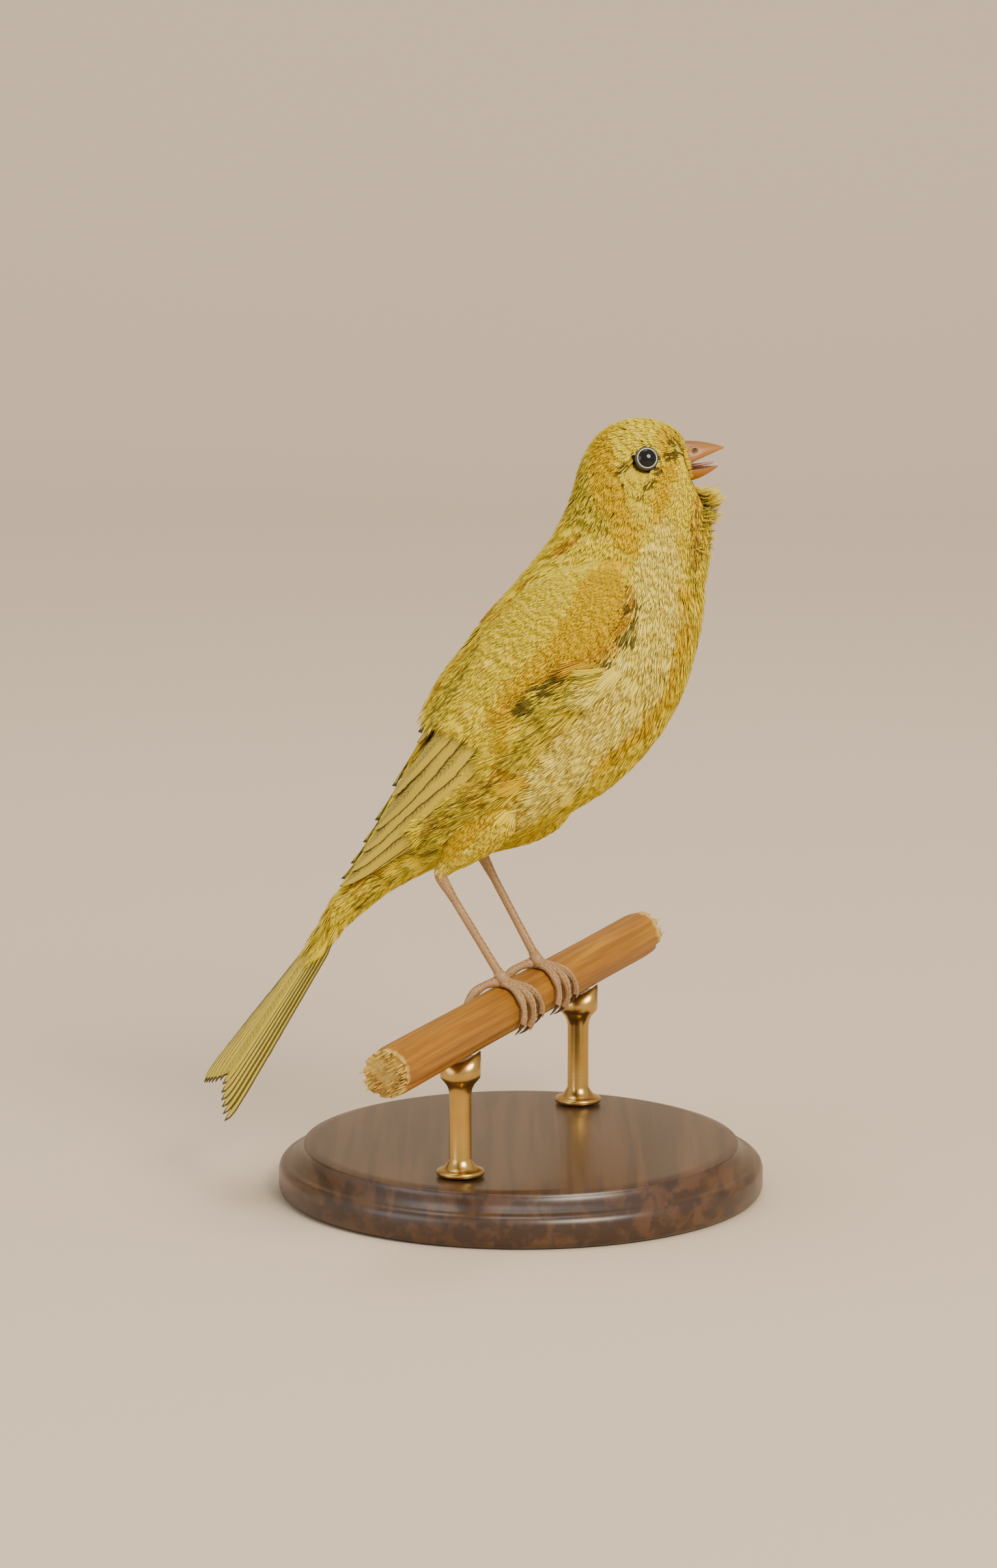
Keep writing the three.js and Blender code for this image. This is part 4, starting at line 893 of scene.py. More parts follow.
flight_vane = vane_material(
    "Flight feather, satin barbs", "#bba22e", "#a08c26", "#5c5022", "#3a3116", 0.33, 0.44)
vanes = []
for i, (path, half) in enumerate(zip(FLIGHT, FLIGHT_HALF)):
    draw = np.random.default_rng(100 + i)
    s, w, _, share, arch = vane_form(0.84, 0.04, 0.2, draw)
    dense = spline_at(path, np.linspace(0, len(path) - 1, 240))
    run = run_along(plumage(dense[:, 0], dense[:, 1]))
    u, angle = (np.interp(s * run[-1], run, dense[:, k]) for k in (0, 1))
    rank = len(FLIGHT) - 1 - i  # how many vanes it lies over
    low = 0.5 + 0.11 * rank - 0.06 * rank * s - 1.3 * (1 - smooth_step(0, 0.3, s))
    along, around, out = plumage_ways(u, angle)
    lie = unit(np.gradient(plumage(u, angle, low), axis=0))
    u_w, a_w = steps(unit(np.cross(out, lie)), along, around)
    shift = half * np.interp(s, [0, 0.4, 1], [0.6, 1, 0.8]) * share
    where_u, where_a = u + shift * u_w, np.maximum(angle + shift * a_w, 2.2)
    lift = low - 0.3 * w + arch
    top, under = (plumage(where_u, where_a, lift - drop) for drop in (0, VANE_THICKNESS))
    vanes.append(vane_parts(top, under, w, s * run[-1], draw))
for side_name, leg in LEGS.items():
    wing = make_vanes(f"wing_vanes_{side_name}", vanes, leg["side"])
    finish_piece(wing, flight_vane, "flight_feathers", f"wing_{side_name}")

# Tail: twelve vanes, the outer ones longer, each lying over the next one out. They spread from
# the tail's root under the coverts, and the whole tail leans a little on its length.
TAIL_FEATHERS = 12
TAIL_LENGTHS = (32.5, 37)  # of the middle ones and of the outer ones


def tail_point(along, across, up):
    """A point of the tail, in metres: along it, across it to the left, and up to its upper side."""
    along, across, up = np.broadcast_arrays(along, across, up)
    roll = -TAIL_ROLL * np.minimum(1, along / 6)
    flat = np.broadcast_to(TAIL_START, along.shape + (3,))
    left = turned_about(flat + [0, 1, 0], TAIL_START, TAIL_ALONG, roll) - TAIL_START
    upper = -np.cross(TAIL_ALONG, left)
    along = (along + 0.3)[..., None] * TAIL_ALONG
    return metres(TAIL_START + along + across[..., None] * left + up[..., None] * upper)


tail_keratin = vane_material(
    "Tail feather, satin barbs", "#cdb432", "#b8a22a", "#6b5e24", "#332b13", 0.22, 0.4)
vanes = []
outmost = (TAIL_FEATHERS - 1) / 2
for i in range(TAIL_FEATHERS):
    place = i - outmost
    k = abs(place) / outmost
    length = TAIL_LENGTHS[0] + (TAIL_LENGTHS[1] - TAIL_LENGTHS[0]) * k**0.6
    draw = np.random.default_rng(400 + i)
    s, w, end, share, arch = vane_form(0.88, 0.02, 0.25, draw)
    half = (1.5 + 0.6 * np.minimum(1, 1.6 * s)) * math.copysign(1, place)
    across = place * (0.5 + 0.95 * s**1.1) + half * share
    along = 4 + (length - 4) * s + 0.9 * w * end
    up = 0.35 - 0.9 * k * k + 0.24 * w + arch
    top, under = (tail_point(along, across, up - drop) for drop in (0, VANE_THICKNESS))
    vanes.append(vane_parts(top, under, -w, length * s, draw))
finish_piece(make_vanes("tail_vanes", vanes, 1), tail_keratin, "flight_feathers", "tail")

# Eyes: glossy, near-black eyeballs that bulge out of bare lids, a pale inner rim in a dark ring
EYE_SKIN = 1.45  # the head's surface above the eyeball's middle
LID = [  # radius and height of its outline
    (1.47, 0.24), (1.48, 0.36), (1.52, 0.42), (1.57, 0.41), (1.61, 0.35), (1.65, 0.32),
    (1.72, 0.33), (1.8, 0.27), (1.88, 0.12), (1.93, -0.2), (1.94, -0.6), (1.7, -0.7),
    (1.55, -0.2), (1.48, 0.1),
]


def lathe(profile, sides):
    """Rings turned round z from rows of radius and height."""
    radius, height = (np.array(profile, float)[:, [k]] for k in (0, 1))
    turn = circle(sides)[None]
    return np.stack([radius * np.cos(turn), radius * np.sin(turn), height + 0 * turn], -1)


eye_black, tree, place = new_material(
    "Cornea over a dark iris, wet and glossy", Roughness=0.04, IOR=1.34, Coat_Weight=0.25,
    Coat_Roughness=0.02)
fleck = add(tree, "TexNoise", {"Vector": place, "Scale": 2500, "Detail": 3})
surface(tree, "#030202", [(fleck, "#0a0503")])

lid_skin, tree, place = new_material("Bare eyelid, thin matt skin", Roughness=0.6)
rim = add(tree, "VertexColor", layer_name="Rim")
grain = add(tree, "TexNoise", {"Vector": place, "Scale": 6000, "Detail": 3})
surface(tree, "#c9c1b2", [(grain, "#d8d0c2"), (rim, "#3b362c")], (0.5, 0.00006, grain))

for side_name, leg in LEGS.items():
    out = EYE_OUT * [1, leg["side"], 1]
    level = unit(np.cross([0.0, 0.0, 1.0], out))
    axes = np.stack([level, np.cross(out, level), out])
    turn = np.linspace(0, math.pi, 33)[1:-1]
    ball = lathe(np.stack([np.sin(turn), np.cos(turn)], -1), 64) * EYE_RADIUS * MM
    eye = make_piece(f"eyeball_{side_name}", *loft(ball @ axes + EYE_CENTRES[side_name]))
    finish_piece(eye, eye_black, "eye_black", f"eye_{side_name}")
    points = lathe(LID, 72).reshape(-1, 3)
    grid = np.arange(len(points)).reshape(len(LID), -1)
    across, beside = np.roll(grid, -1, 0), np.roll(grid, -1, 1)
    quads = np.stack([grid, beside, np.roll(beside, -1, 0), across], -1).reshape(-1, 4)
    turn, radius = np.arctan2(points[:, 1], points[:, 0]), np.hypot(points[:, 0], points[:, 1])
    points[:, 2] += EYE_SKIN + 0.025 * np.sin(turn * 22) * smooth_step(1.58, 1.66, radius)
    lid = make_piece(f"eyelid_{side_name}", (points * MM) @ axes + EYE_CENTRES[side_name], quads)
    dark = smooth_step(1.58, 1.64, radius)
    store_colour(lid, "Rim", [dark, dark, dark, 0 * dark + 1])
    finish_piece(lid, lid_skin, "plumage")

# Bill: two conical halves of salmon-coloured horn, open in song, each with a hollow inner side.
# Their roots are sunk in the face. The ridge is darker, the tip paler, and growth lines
# run round from the base.
BILL_BASE = 26.85
BILL_LENGTH = 5.8
NOSTRIL = np.array([27.9, 2.4, 91.0])


def bill_half(length, half, edge, ridge):
    """One half of the bill, between its cutting edge and its ridge, each a height along it."""
    t = np.concatenate([[-0.34, -0.23, -0.12], np.linspace(0, 1, 64) ** 0.9])[:, None]
    on = np.maximum(t, 0)
    width = half * (1 - on**1.35) * (1 - 0.2 * np.minimum(t, 0)) + 0.12
    turn = np.linspace(math.pi, 0, 45)[None]
    c, s = np.cos(turn), np.sin(turn)
    high = ridge(on) - edge(on)
    x = BILL_BASE + length * t
    arch = np.stack([x + 0 * c, width * np.sign(c) * np.abs(c) ** 0.9, edge(on) + high * s**0.85], -1)
    away = arch * [1, 0, 1] + np.abs(arch) * [0, 1, 0] - NOSTRIL
    near = np.linalg.norm(away / [0.5, 0.6, 0.36], axis=-1)
    arch[..., 1] *= 1 - 0.2 * np.exp(-near**2)
    k = np.linspace(0.97, -0.97, 17)[None]
    floor = np.stack([x + 0 * k, width * k, edge(on) + high * 0.48 * (1 - on) ** 0.7 * (1 - k**2)], -1)
    rings = np.concatenate([arch, floor], 1)
    tip = rings[-1].mean(0) + [0.1, 0, 0]
    return loft(metres(np.concatenate([rings, (rings[-1] * 0.45 + tip * 0.55)[None]])))


bill_horn, tree, place = new_material(
    "Bill horn, satin keratin", Roughness=0.42, IOR=1.54, Coat_Weight=0.1, Coat_Roughness=0.3)
spot = add(tree, "SeparateXYZ", {0: place})
cloud = add(tree, "TexNoise", {"Vector": place, "Scale": 900, "Detail": 4})
squeeze = add(tree, "Mapping", {0: place, 3: (2600, 300, 300)})
lines = add(tree, "TexNoise", {"Vector": squeeze, "Scale": 1.0, "Detail": 2})
toward_tip = add(tree, "MapRange", {0: spot, 1: 0.0265, 2: 0.0325, 4: 0.55})
ridge = add(tree, "MapRange", {0: spot.outputs[2], 1: 0.1233, 2: 0.1243, 4: 0.5})
growth = add(tree, "MapRange", {0: lines, 1: 0.52, 2: 0.7, 4: 0.35})
sideways = add(tree, "CombineXYZ", {0: spot, 2: spot.outputs[2]})
# painted shade: the nostril's opening is painted near black on a shallow dent
hole = metres(NOSTRIL * [1, 0, 1])
from_hole = add(tree, "VectorMath", {0: sideways, 1: hole}, operation="DISTANCE")
nostril_shade = add(tree, "MapRange", {0: from_hole.outputs["Value"], 1: 0.00045, 2: 0.0003, 4: 0.92})
surface(tree, "#864c00", [
    (cloud, "#985e00"),
    (toward_tip, "#9c6616"),
    (ridge, "#5e3410"),
    (growth, "#6e3d0e"),
    # the nostril's painted shade
    (nostril_shade, "#1f120a"),
], (0.3, 0.0001, lines))

upper = make_piece("bill_upper_half", *bill_half(
    BILL_LENGTH, 3.1, lambda t: 88.75 + 2.35 * t**0.85, lambda t: 92.3 - 0.95 * t * t))
finish_piece(upper, bill_horn, "bill_horn", "bill_upper")
lower = make_piece("bill_lower_half", *bill_half(
    BILL_LENGTH - 0.9, 2.9, lambda t: 87.85 + 0.4 * t, lambda t: 85.85 + 2.25 * t**1.7))
finish_piece(lower, bill_horn, "bill_horn", "bill_lower")

# Tongue: thin, moist and pink, pointed and held up in song between the halves of the bill
tongue_flesh, tree, place = new_material(
    "Tongue, moist flesh", Roughness=0.28, IOR=1.4, Subsurface_Weight=0.15, Subsurface_Scale=0.001)
cloud = add(tree, "TexNoise", {"Vector": place, "Scale": 1800, "Detail": 3})
surface(tree, "#b87c72", [(cloud, "#d09c90")], (0.3, 0.00008, cloud))
t = np.linspace(0, 1, 30)[:, None]
turn = circle(28)[None]
wide, thick = 1.15 - 0.7 * t, (0.32 - 0.12 * t) * (1 - 0.3 * np.cos(turn) ** 2)
taper = np.sqrt(np.clip(1 - ((t - 0.86) / 0.14).clip(0, 1) ** 2, 0.01, 1))
groove = 0.1 * np.exp(-(np.cos(turn) / 0.25) ** 2) * (np.sin(turn) > 0)
rings = np.stack([
    24.9 + 6.4 * t + 0 * turn,
    wide * taper * np.cos(turn),
    88.2 + 0.1 * t + 0.6 * t * t + thick * taper * np.sin(turn) - groove * taper,
], -1)
tongue = make_piece("tongue_soft", *loft(metres(rings)))
finish_piece(tongue, tongue_flesh, "tongue_skin", "tongue")

# Legs: bare, scaly shanks and toes, buff with darker creases, partly painted shade, and painted
# shade in the hollows. A row of plates overlaps down the front of the shank and along the top of
# each toe; the claws are curved, slender horn.
TOES = {  # how far it spreads along the perch, how far round the perch it ends, its radius
    1: (-3, -92, 0.72),
    2: (-1.6, 108, 0.62),
    3: (2.8, 124, 0.68),
    4: (6.6, 106, 0.62),
}


def limb(path, radii, sides=20):
    """A round limb along points in millimetres, in metres."""
    path = np.asarray(path, float)
    way = unit(np.gradient(path, axis=0))
    first = unit(np.cross(way, [0.13, 1.0, 0.21]))
    second = np.cross(way, first)
    turn = circle(sides)[None, :, None]
    radii = np.asarray(radii, float)[:, None, None]
    round_it = first[:, None] * np.cos(turn) + second[:, None] * np.sin(turn)
    return loft(metres(path[:, None] + radii * round_it))


def toe_point(leg, toe, t):
    drift, end, radius = toe
    around = math.copysign(4, end) * (1 - t) + end * t
    along = leg["along"] + drift * (1 - (1 - t) ** 1.6)
    return perch_point(along, around, PERCH_RADIUS + GAP + 0.85 * radius)


def start_tree(name, **kinds):
    """A Geometry Nodes tree with a mesh and named inputs, each of its kind, and what it is given."""
    tree = bpy.data.node_groups.new(name, "GeometryNodeTree")
    for key, kind in {"Geometry": "Geometry", **kinds}.items():
        tree.interface.new_socket(name=key, in_out="INPUT", socket_type=f"NodeSocket{kind}")
    tree.interface.new_socket(name="Geometry", in_out="OUTPUT", socket_type="NodeSocketGeometry")
    return tree, add(tree, "NodeGroupInput").outputs


def finish_tree(tree, material, points, instance, rotation, size):
    """The last nodes: instances on points, made real, with their material."""
    placed = add(tree, "GeometryNodeInstanceOnPoints",
                 {"Points": points, "Instance": instance, "Rotation": rotation, "Scale": size})
    real = add(tree, "GeometryNodeRealizeInstances", {"Geometry": placed})
    finish = add(tree, "GeometryNodeSetMaterial", {"Geometry": real, "Material": material})
    add(tree, "NodeGroupOutput", {0: finish})
    return tree


def scute_tree(material):
    """Overlapping plates along edges: a plate every so far, as wide as Wide says, facing Front."""
    tree, given = start_tree("Scutes", Spacing="Float", Overlap="Float")
    curve = add(tree, "GeometryNodeMeshToCurve", {"Mesh": given["Geometry"]})
    spaced = add(tree, "GeometryNodeResampleCurve", {"Curve": curve, "Length": given["Spacing"]},
                 mode="LENGTH")
    front = add(tree, "GeometryNodeInputNamedAttribute", {"Name": "Front"}, data_type="FLOAT_VECTOR")
    wide = add(tree, "GeometryNodeInputNamedAttribute", {"Name": "Wide"}, data_type="FLOAT")
    tangent = add(tree, "GeometryNodeInputTangent")
    along = add(tree, "FunctionNodeAlignRotationToVector", {"Vector": tangent}, axis="X")
    facing = add(tree, "FunctionNodeAlignRotationToVector", {"Rotation": along, "Vector": front},
                 axis="Z", pivot_axis="X")
    tipped = add(tree, "FunctionNodeRotateRotation",
                 {"Rotation": facing, "Rotate By": (0.0, 0.12, 0.0)}, rotation_space="LOCAL")
    length = add(tree, "Math", {0: given["Spacing"], 1: given["Overlap"]}, operation="MULTIPLY")
    thick = add(tree, "Math", {0: wide, 1: 0.16}, operation="MULTIPLY")
    size = add(tree, "CombineXYZ", {0: length, 1: wide, 2: thick})
    plate = add(tree, "GeometryNodeMeshUVSphere", {"Segments": 12, "Rings": 6, "Radius": 1.0})
    smooth = add(tree, "GeometryNodeSetShadeSmooth", {"Geometry": plate})
    return finish_tree(tree, material, spaced, smooth, tipped, size)


def grow(name, points, edges, attributes, tree, settings):
    """A piece that a Geometry Nodes tree makes from points and edges, as a plain mesh."""
    mesh = bpy.data.meshes.new(name)
    mesh.from_pydata([tuple(p) for p in points], edges, [])
    for key, values in attributes.items():
        kind, field = ("FLOAT_VECTOR", "vector") if np.ndim(values) == 2 else ("FLOAT", "value")
        layer = mesh.attributes.new(key, kind, "POINT")
        layer.data.foreach_set(field, np.asarray(values, np.float32).ravel())
    piece = in_scene(name, mesh)
    grower = piece.modifiers.new("grow", "NODES")
    grower.node_group = tree
    for item in tree.interface.items_tree:
        if item.in_out == "INPUT" and item.name in settings:
            grower[item.identifier] = settings[item.name]
    return baked(piece)


# Dry, horny leg skin: buff plates with a soft sheen, dark in the creases between them, partly as
# painted shade, and painted darker as shade in the hollows
leg_skin, tree, place = new_material("Leg scales, dry horny skin", Roughness=0.48, IOR=1.45)
cloud = add(tree, "TexNoise", {"Vector": place, "Scale": 420, "Detail": 4})
cells = add(tree, "TexVoronoi", {"Vector": place, "Scale": 2600}, feature="DISTANCE_TO_EDGE")
# dark creases between the plates, partly painted shade
crease = add(tree, "MapRange", {0: cells, 1: 0.0, 2: 0.1, 3: 0.6, 4: 0.0})
# painted shade: where the surface curves in, it is painted darker
edges = add(tree, "NewGeometry").outputs["Pointiness"]
hollow_shade = add(tree, "MapRange", {0: edges, 1: 0.4, 2: 0.49, 3: 0.6, 4: 0.0})
surface(tree, "#96744a", [
    (cloud, "#b89268"),
    (crease, "#4c361c"),
    (hollow_shade, "#33220f"),
], (0.5, 0.0001, cells))

# Claw horn: dark, hard and smooth, with a dull gloss
claw_horn, tree, place = new_material("Claw horn, smooth keratin", Roughness=0.35, IOR=1.54)
cloud = add(tree, "TexNoise", {"Vector": place, "Scale": 900, "Detail": 3})
surface(tree, "#4b3620", [(cloud, "#6e5436")], (0.2, 0.00005, cloud))

scutes = scute_tree(leg_skin)
for side_name, leg in LEGS.items():
    t = np.linspace(0, 1, 60)
    shank = leg["ankle"] + leg["lean"] * (0.2 + (SHANK_LENGTH - 0.2) * t)[:, None]
    heel = leg["heel"] + leg["thigh"] * np.linspace(0, 2.6, 12)[:, None]
    path = np.vstack([shank, heel[1:]])
    radii = 0.76 - 0.08 * np.minimum(1, 3 * t) + 1.5 * np.maximum(0, t - 0.76)
    radii = np.concatenate([radii, np.linspace(1.12, 1.2, 11)])
    smooth = np.array([np.convolve(np.pad(c, 3, "edge"), np.ones(7) / 7, "valid") for c in path.T]).T
    shank_mesh = make_piece(f"shank_{side_name}", *limb(smooth, radii, 24))
    finish_piece(shank_mesh, leg_skin, "leg_skin", f"tarsus_{side_name}")

    front = unit(np.cross(leg["lean"], [0, -1, 0]))
    rows = slice(1, 52)  # the shank's points that have plates
    ridge = smooth[rows] + front * (radii[rows, None] * 0.82)
    lines = [(ridge, np.tile(front, (51, 1)), radii[rows] * 0.86)]
    parts, claws = [], []
    for toe in TOES.values():
        t = np.linspace(0, 1, 46)
        path = np.array([toe_point(leg, toe, v) for v in t])
        thick = toe[2] * (1.1 - 0.27 * t) * (1 + 0.13 * np.cos(4 * math.pi * t))
        parts.append(limb(path, thick, 18))
        top = unit(path - perch_point(path @ perch_point(1, 0, 0), 0, 0))
        lines.append((path + top * thick[:, None] * 0.8, top, thick * 0.84))
        tip = path[-1]
        way, down = unit(tip - toe_point(leg, toe, 0.97)), perch_point(0, toe[1], -1)
        t = np.linspace(0, 1, 22)[:, None]
        path = tip + way * (2.3 * t - 0.1) + down * (0.7 * t**2)
        claws.append(limb(path, (0.42 - 0.35 * t**0.8).ravel(), 14))
    knob = leg["ankle"] + leg["lean"] * np.array([[-1.4], [0], [1.2]])
    parts.append(limb(knob, [1.15, 1.0, 0.8]))
    t = np.linspace(-1, 1, 21)
    pad = perch_point(leg["along"] + 0.3, 2, PERCH_RADIUS + GAP + 0.75)
    way = unit(perch_point(0, 92, 1.0))
    parts.append(limb(pad + way * (1.6 * t)[:, None], 1.1 * np.sqrt(1.02 - t**2)))
    foot = make_piece(f"foot_soft_{side_name}", *gather(parts))
    finish_piece(foot, leg_skin, "leg_skin", f"foot_{side_name}")

    edges, start = [], 0
    for line in lines:
        edges += [(start + i, start + i + 1) for i in range(len(line[0]) - 1)]
        start += len(line[0])
    points, fronts, wide = (np.concatenate(column) for column in zip(*lines))
    plates = grow(f"scutes_{side_name}", metres(points), edges, {"Front": fronts, "Wide": wide * MM},
                  scutes, {"Spacing": 0.00095, "Overlap": 0.68})
    finish_piece(plates, leg_skin, "leg_skin")
    claw = make_piece(f"claws_{side_name}", *gather(claws))
    finish_piece(claw, claw_horn, "claw_horn", *[f"claw_{side_name}_{n}" for n in TOES])

# Perch: a short length of round, ochre-stained branch, with a slightly uneven surface along the
# grain. Both ends are broken off rather than sawn, so pale fibres and splinters stand out there.
PERCH_END = 59
BREAK = 4.2  # how far from its end the perch is torn
turn = circle(88)
run = np.linspace(-1, 1, 170)
run = (PERCH_END - 1.2) * (np.sign(run) * np.abs(run) ** 0.85)[:, None]
draw = np.random.default_rng(7)
uneven = 0.05 * np.sin(0.11 * run + 1)
for _ in range(26):
    times, phase = draw.integers(2, 16), draw.uniform(0, 6.28)
    wave, start = draw.uniform(0.01, 0.09), draw.uniform(0, 6.28)
    uneven = uneven + 0.013 * np.sin(times * turn + phase + 0.6 * np.sin(wave * run + start))
ends = np.clip((np.abs(run) - (PERCH_END - BREAK)) / 3, 0, 1)
tears = sum(np.abs(np.sin(times * turn / 2 + draw.uniform(0, 6.28))) for times in (5, 8, 13, 21)) / 4
pull = np.maximum(ends**2 * (tears - 0.75) * 2.4, -1.0)
radius = PERCH_RADIUS - 0.06 + uneven - 0.35 * ends * tears
sides = perch_point(run - np.sign(run) * pull, np.degrees(turn), radius)
caps = []
for end in (-1, 1):
    for k in (0.86, 0.66, 0.45, 0.22):
        dish = 1.5 + 0.05 * draw.normal(0, 1, len(turn)) * (k > 0.2)
        caps.append(perch_point(end * (PERCH_END - dish), np.degrees(turn), (PERCH_RADIUS - 0.4) * k))
perch = make_piece("perch_branch", *loft(metres(np.concatenate([caps[3::-1], sides, caps[4:]]))))

# Branch wood, stained ochre and rubbed by hand: fine fibres along it and pale bare wood at the ends
perch_wood, tree, place = new_material("Stained branch wood, hand-rubbed", Roughness=0.6)
level = add(tree, "Mapping", {0: place, 2: (0, 0, PERCH_YAW)})
fine = add(tree, "Mapping", {0: level, 3: (1500, 45, 1500)})
grain = add(tree, "TexNoise", {"Vector": fine, "Scale": 1.0, "Detail": 6})
cloud = add(tree, "TexNoise", {"Vector": level, "Scale": 90, "Detail": 4})
coarse = add(tree, "Mapping", {0: level, 3: (420, 26, 420)})
streak = add(tree, "TexNoise", {"Vector": coarse, "Scale": 1.0, "Detail": 3})
lighter = add(tree, "MapRange", {0: streak, 1: 0.5, 2: 0.68, 4: 0.5})
fibre = add(tree, "MapRange", {0: grain, 1: 0.42, 2: 0.6, 3: 0.45, 4: 0.0})
spot = add(tree, "SeparateXYZ", {0: level})
far = add(tree, "Math", {0: spot.outputs[1]}, operation="ABSOLUTE")
torn = add(tree, "Math", {0: streak, 1: 0.006, 2: far}, operation="MULTIPLY_ADD")
bare = add(tree, "MapRange", {0: torn, 1: 0.0592, 2: 0.0606})
coats = [(cloud, "#a06a06"), (lighter, "#b0800f"), (fibre, "#633900"), (bare, "#bf9f4a")]
surface(tree, "#8c5600", coats, (0.5, 0.0002, grain))
finish_piece(perch, perch_wood, "perch_wood", "perch")


def splinter_tree(material):
    """Splinters on points: thin cones along Way, each of its own length, size and lean."""
    tree, given = start_tree("Splinters", Length="Float", Radius="Float", Seed="Int")
    points = add(tree, "GeometryNodeMeshToPoints", {"Mesh": given["Geometry"]})
    way = add(tree, "GeometryNodeInputNamedAttribute", {"Name": "Way"}, data_type="FLOAT_VECTOR")
    along = add(tree, "FunctionNodeAlignRotationToVector", {"Vector": way}, axis="Z")
    lean, size = (
        add(tree, "FunctionNodeRandomValue", {0: least, 1: most, "Seed": given["Seed"]},
            data_type="FLOAT_VECTOR")
        for least, most in (
            ((-0.06, -0.06, 0.0), (0.06, 0.06, 6.28)),
            ((0.6, 0.6, 0.35), (1.3, 1.3, 1.0)),
        ))
    turned = add(tree, "FunctionNodeRotateRotation", {"Rotation": along, "Rotate By": lean},
                 rotation_space="LOCAL")
    cone = add(tree, "GeometryNodeMeshCone", {
        "Vertices": 6, "Radius Top": 0.00003, "Radius Bottom": given["Radius"],
        "Depth": given["Length"]})
    return finish_tree(tree, material, points, cone, turned, size)


spots, ways = [], []
for end in (-1, 1):
    around = draw.uniform(0, 360, 64)
    reach = (PERCH_RADIUS - 0.35) * np.sqrt(draw.uniform(0.15, 1, 64))
    spots.append(perch_point(end * (PERCH_END - 2.6 + 0.5 * draw.random(64)), around, reach))
    ways.append(np.tile(end * unit(perch_point(1, 0, 0)), (64, 1)))
splinters = grow("perch_splinters", metres(np.vstack(spots)), [], {"Way": np.vstack(ways)},
                 splinter_tree(perch_wood), {"Length": 0.0044, "Radius": 0.0003, "Seed": 5})
finish_piece(splinters, perch_wood, "perch_wood")

# Base: a turned and waxed disc of dark hardwood, with a bead and a cove worked round its edge
BASE_PROFILE = np.array([
    [0.4, 0], [30, 0], [38.6, 0], [39.3, 0.25], [39.8, 0.7], [40, 1.3], [40, 4.0], [39.8, 4.7],
    [39.4, 5.2], [38.8, 5.5], [38.3, 5.6], [38.1, 5.75], [37.6, 6.0], [36.9, 6.5], [36.3, 7.1],
    [35.95, 7.7], [35.9, 8.05], [35.6, 8.15], [35.1, 8.3], [34.5, 8.45], [33.8, 8.5], [25, 8.5],
    [15, 8.5], [6, 8.5], [0.4, 8.5],
])
base = make_piece("base_turned", *loft(lathe(BASE_PROFILE, 160) * MM))
base_wood, tree, place = new_material(
    "Dark walnut, turned and waxed", Roughness=0.36, Coat_Weight=0.2, Coat_Roughness=0.25)
fine = add(tree, "Mapping", {0: place, 3: (420, 16, 420)})
grain = add(tree, "TexNoise", {"Vector": fine, "Scale": 1.0, "Detail": 6, "Distortion": 0.4})
coarse = add(tree, "Mapping", {0: place, 3: (60, 5, 60)})
growth = add(tree, "TexNoise", {"Vector": coarse, "Scale": 1.0, "Detail": 2})
pore = add(tree, "MapRange", {0: grain, 1: 0.45, 2: 0.6, 3: 0.75, 4: 0.0})
surface(tree, "#38220f", [(growth, "#56371e"), (pore, "#231308")], (0.2, 0.0001, grain))
finish_piece(base, base_wood, "base_wood", "stand_base")

# Two turned brass posts, each on a small foot, with a cradle on top that the perch lies in
ROD_SPREAD = 27
POST_BOTTOM = 8.8
CRADLE = 17  # the last row of the profile that lies below the perch
POST_PROFILE = np.array([
    [0.3, 0], [3.6, 0], [3.85, 0.12], [3.9, 0.3], [3.9, 0.6], [3.8, 0.8], [3.5, 0.92],
    [3.0, 1.1], [2.5, 1.45], [2.2, 1.9], [1.95, 2.3], [1.8, 2.8], [1.78, 9], [1.8, 13.4],
    [1.95, 14.2], [2.3, 14.9], [2.8, 15.5], [3.2, 16.0], [3.3, 16.5], [3.3, 20.7], [3.2, 20.95],
    [3.0, 21.0], [2.4, 21.0], [1.5, 21.0], [0.6, 21.0],
])
brass, tree, place = new_material("Brass, polished and lacquered", Metallic=1.0)
cloud = add(tree, "TexNoise", {"Vector": place, "Scale": 160, "Detail": 4})
turned = add(tree, "Mapping", {0: place, 3: (60, 60, 5200)})
lines = add(tree, "TexNoise", {"Vector": turned, "Scale": 1.0, "Detail": 2})
rough = add(tree, "MapRange", {0: cloud, 3: 0.16, 4: 0.34})
feed(tree, tree.nodes["Principled BSDF"], {"Roughness": rough})
surface(tree, "#a5803e", [(cloud, "#d0ab63")], (0.15, 0.00005, lines))
for number, side in ((1, -1), (2, 1)):
    rings = lathe(POST_PROFILE, 64) + [0, 0, POST_BOTTOM]
    across = rings[..., 0] * math.cos(PERCH_YAW) - rings[..., 1] * math.sin(PERCH_YAW)
    bed = PERCH_AXIS - np.sqrt((PERCH_RADIUS + GAP) ** 2 - across**2)
    rings[CRADLE + 1:, :, 2] = np.minimum(rings[..., 2], bed)[CRADLE + 1:]
    post = make_piece(f"post_{number}", *loft((rings + perch_point(side * ROD_SPREAD, 0, 0)) * MM))
    finish_piece(post, brass, "rod_brass", f"stand_rod_{number}")

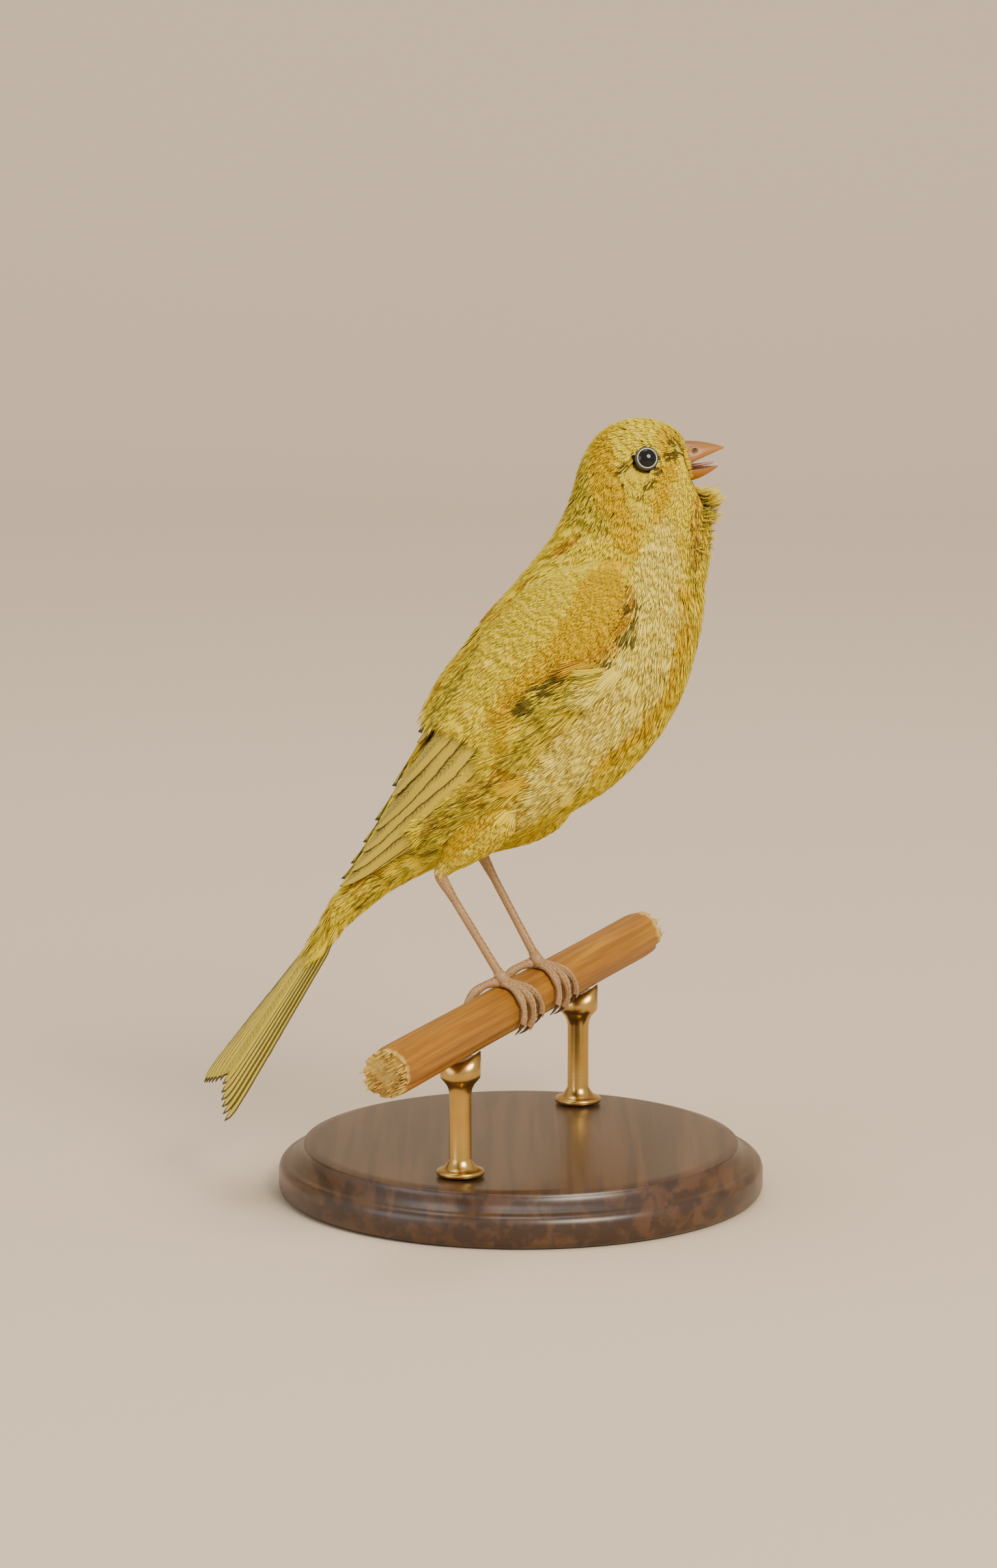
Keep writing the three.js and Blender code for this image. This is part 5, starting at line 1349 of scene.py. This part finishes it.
# A plain pale floor that runs up behind as a backdrop, and soft studio light: a broad key from
# the upper right in front, a fill from the left and a soft top light.
arc = [(0.9 + 0.5 * math.sin(a), 0.5 - 0.5 * math.cos(a)) for a in np.linspace(0.1, math.pi / 2, 14)]
arc = [(-1.6, 0.0), (0.9, 0.0), *arc, (1.4, 2.6)]
grid = np.arange(2 * len(arc)).reshape(2, -1)
quads = np.stack([grid[0, :-1], grid[1, :-1], grid[1, 1:], grid[0, 1:]], -1)
floor = make_piece("studio_floor", [(x, y, z) for x in (-3.0, 3.0) for y, z in arc], quads)
paper, tree, place = new_material("Seamless studio paper", Roughness=0.9)
cloud = add(tree, "TexNoise", {"Vector": place, "Scale": 3, "Detail": 2})
surface(tree, "#c6b49d", [(cloud, "#cab8a2")])
floor.data.materials.append(paper)

TARGET = Vector((-0.003697, 0, 0.068016))
for name, place, size, power, colour in (
    ("key", (0.7, -1.05, 1.0), 0.8, 32, "#fff3df"),
    ("fill", (-1.2, -0.8, 0.5), 1.0, 6.5, "#f3f5ff"),
    ("top", (-0.1, 0.3, 1.5), 1.0, 9.5, "#ffffff"),
):
    light = bpy.data.lights.new(name, "AREA")
    light.shape, light.size = "DISK", size
    light.energy, light.color = power, linear(colour)[:3]
    lamp = in_scene(name, light)
    lamp.location = place
    lamp.rotation_euler = (TARGET - Vector(place)).to_track_quat("-Z", "Y").to_euler()
world = bpy.data.worlds.new("studio")
world.use_nodes = True
background = world.node_tree.nodes["Background"]
feed(world.node_tree, background, {"Color": linear("#f4f0e8"), "Strength": 0.92})
bpy.context.scene.world = world

CAMERA_ANGLE = math.radians(10)  # above level
camera_data = bpy.data.cameras.new("camera")
camera_data.sensor_width = 36
camera_data.lens = 120.86
camera = in_scene("camera", camera_data)
camera.location = TARGET + 0.86 * Vector((0, -math.cos(CAMERA_ANGLE), math.sin(CAMERA_ANGLE)))
camera.rotation_euler = (math.pi / 2 - CAMERA_ANGLE, 0, 0)
bpy.context.scene.camera = camera
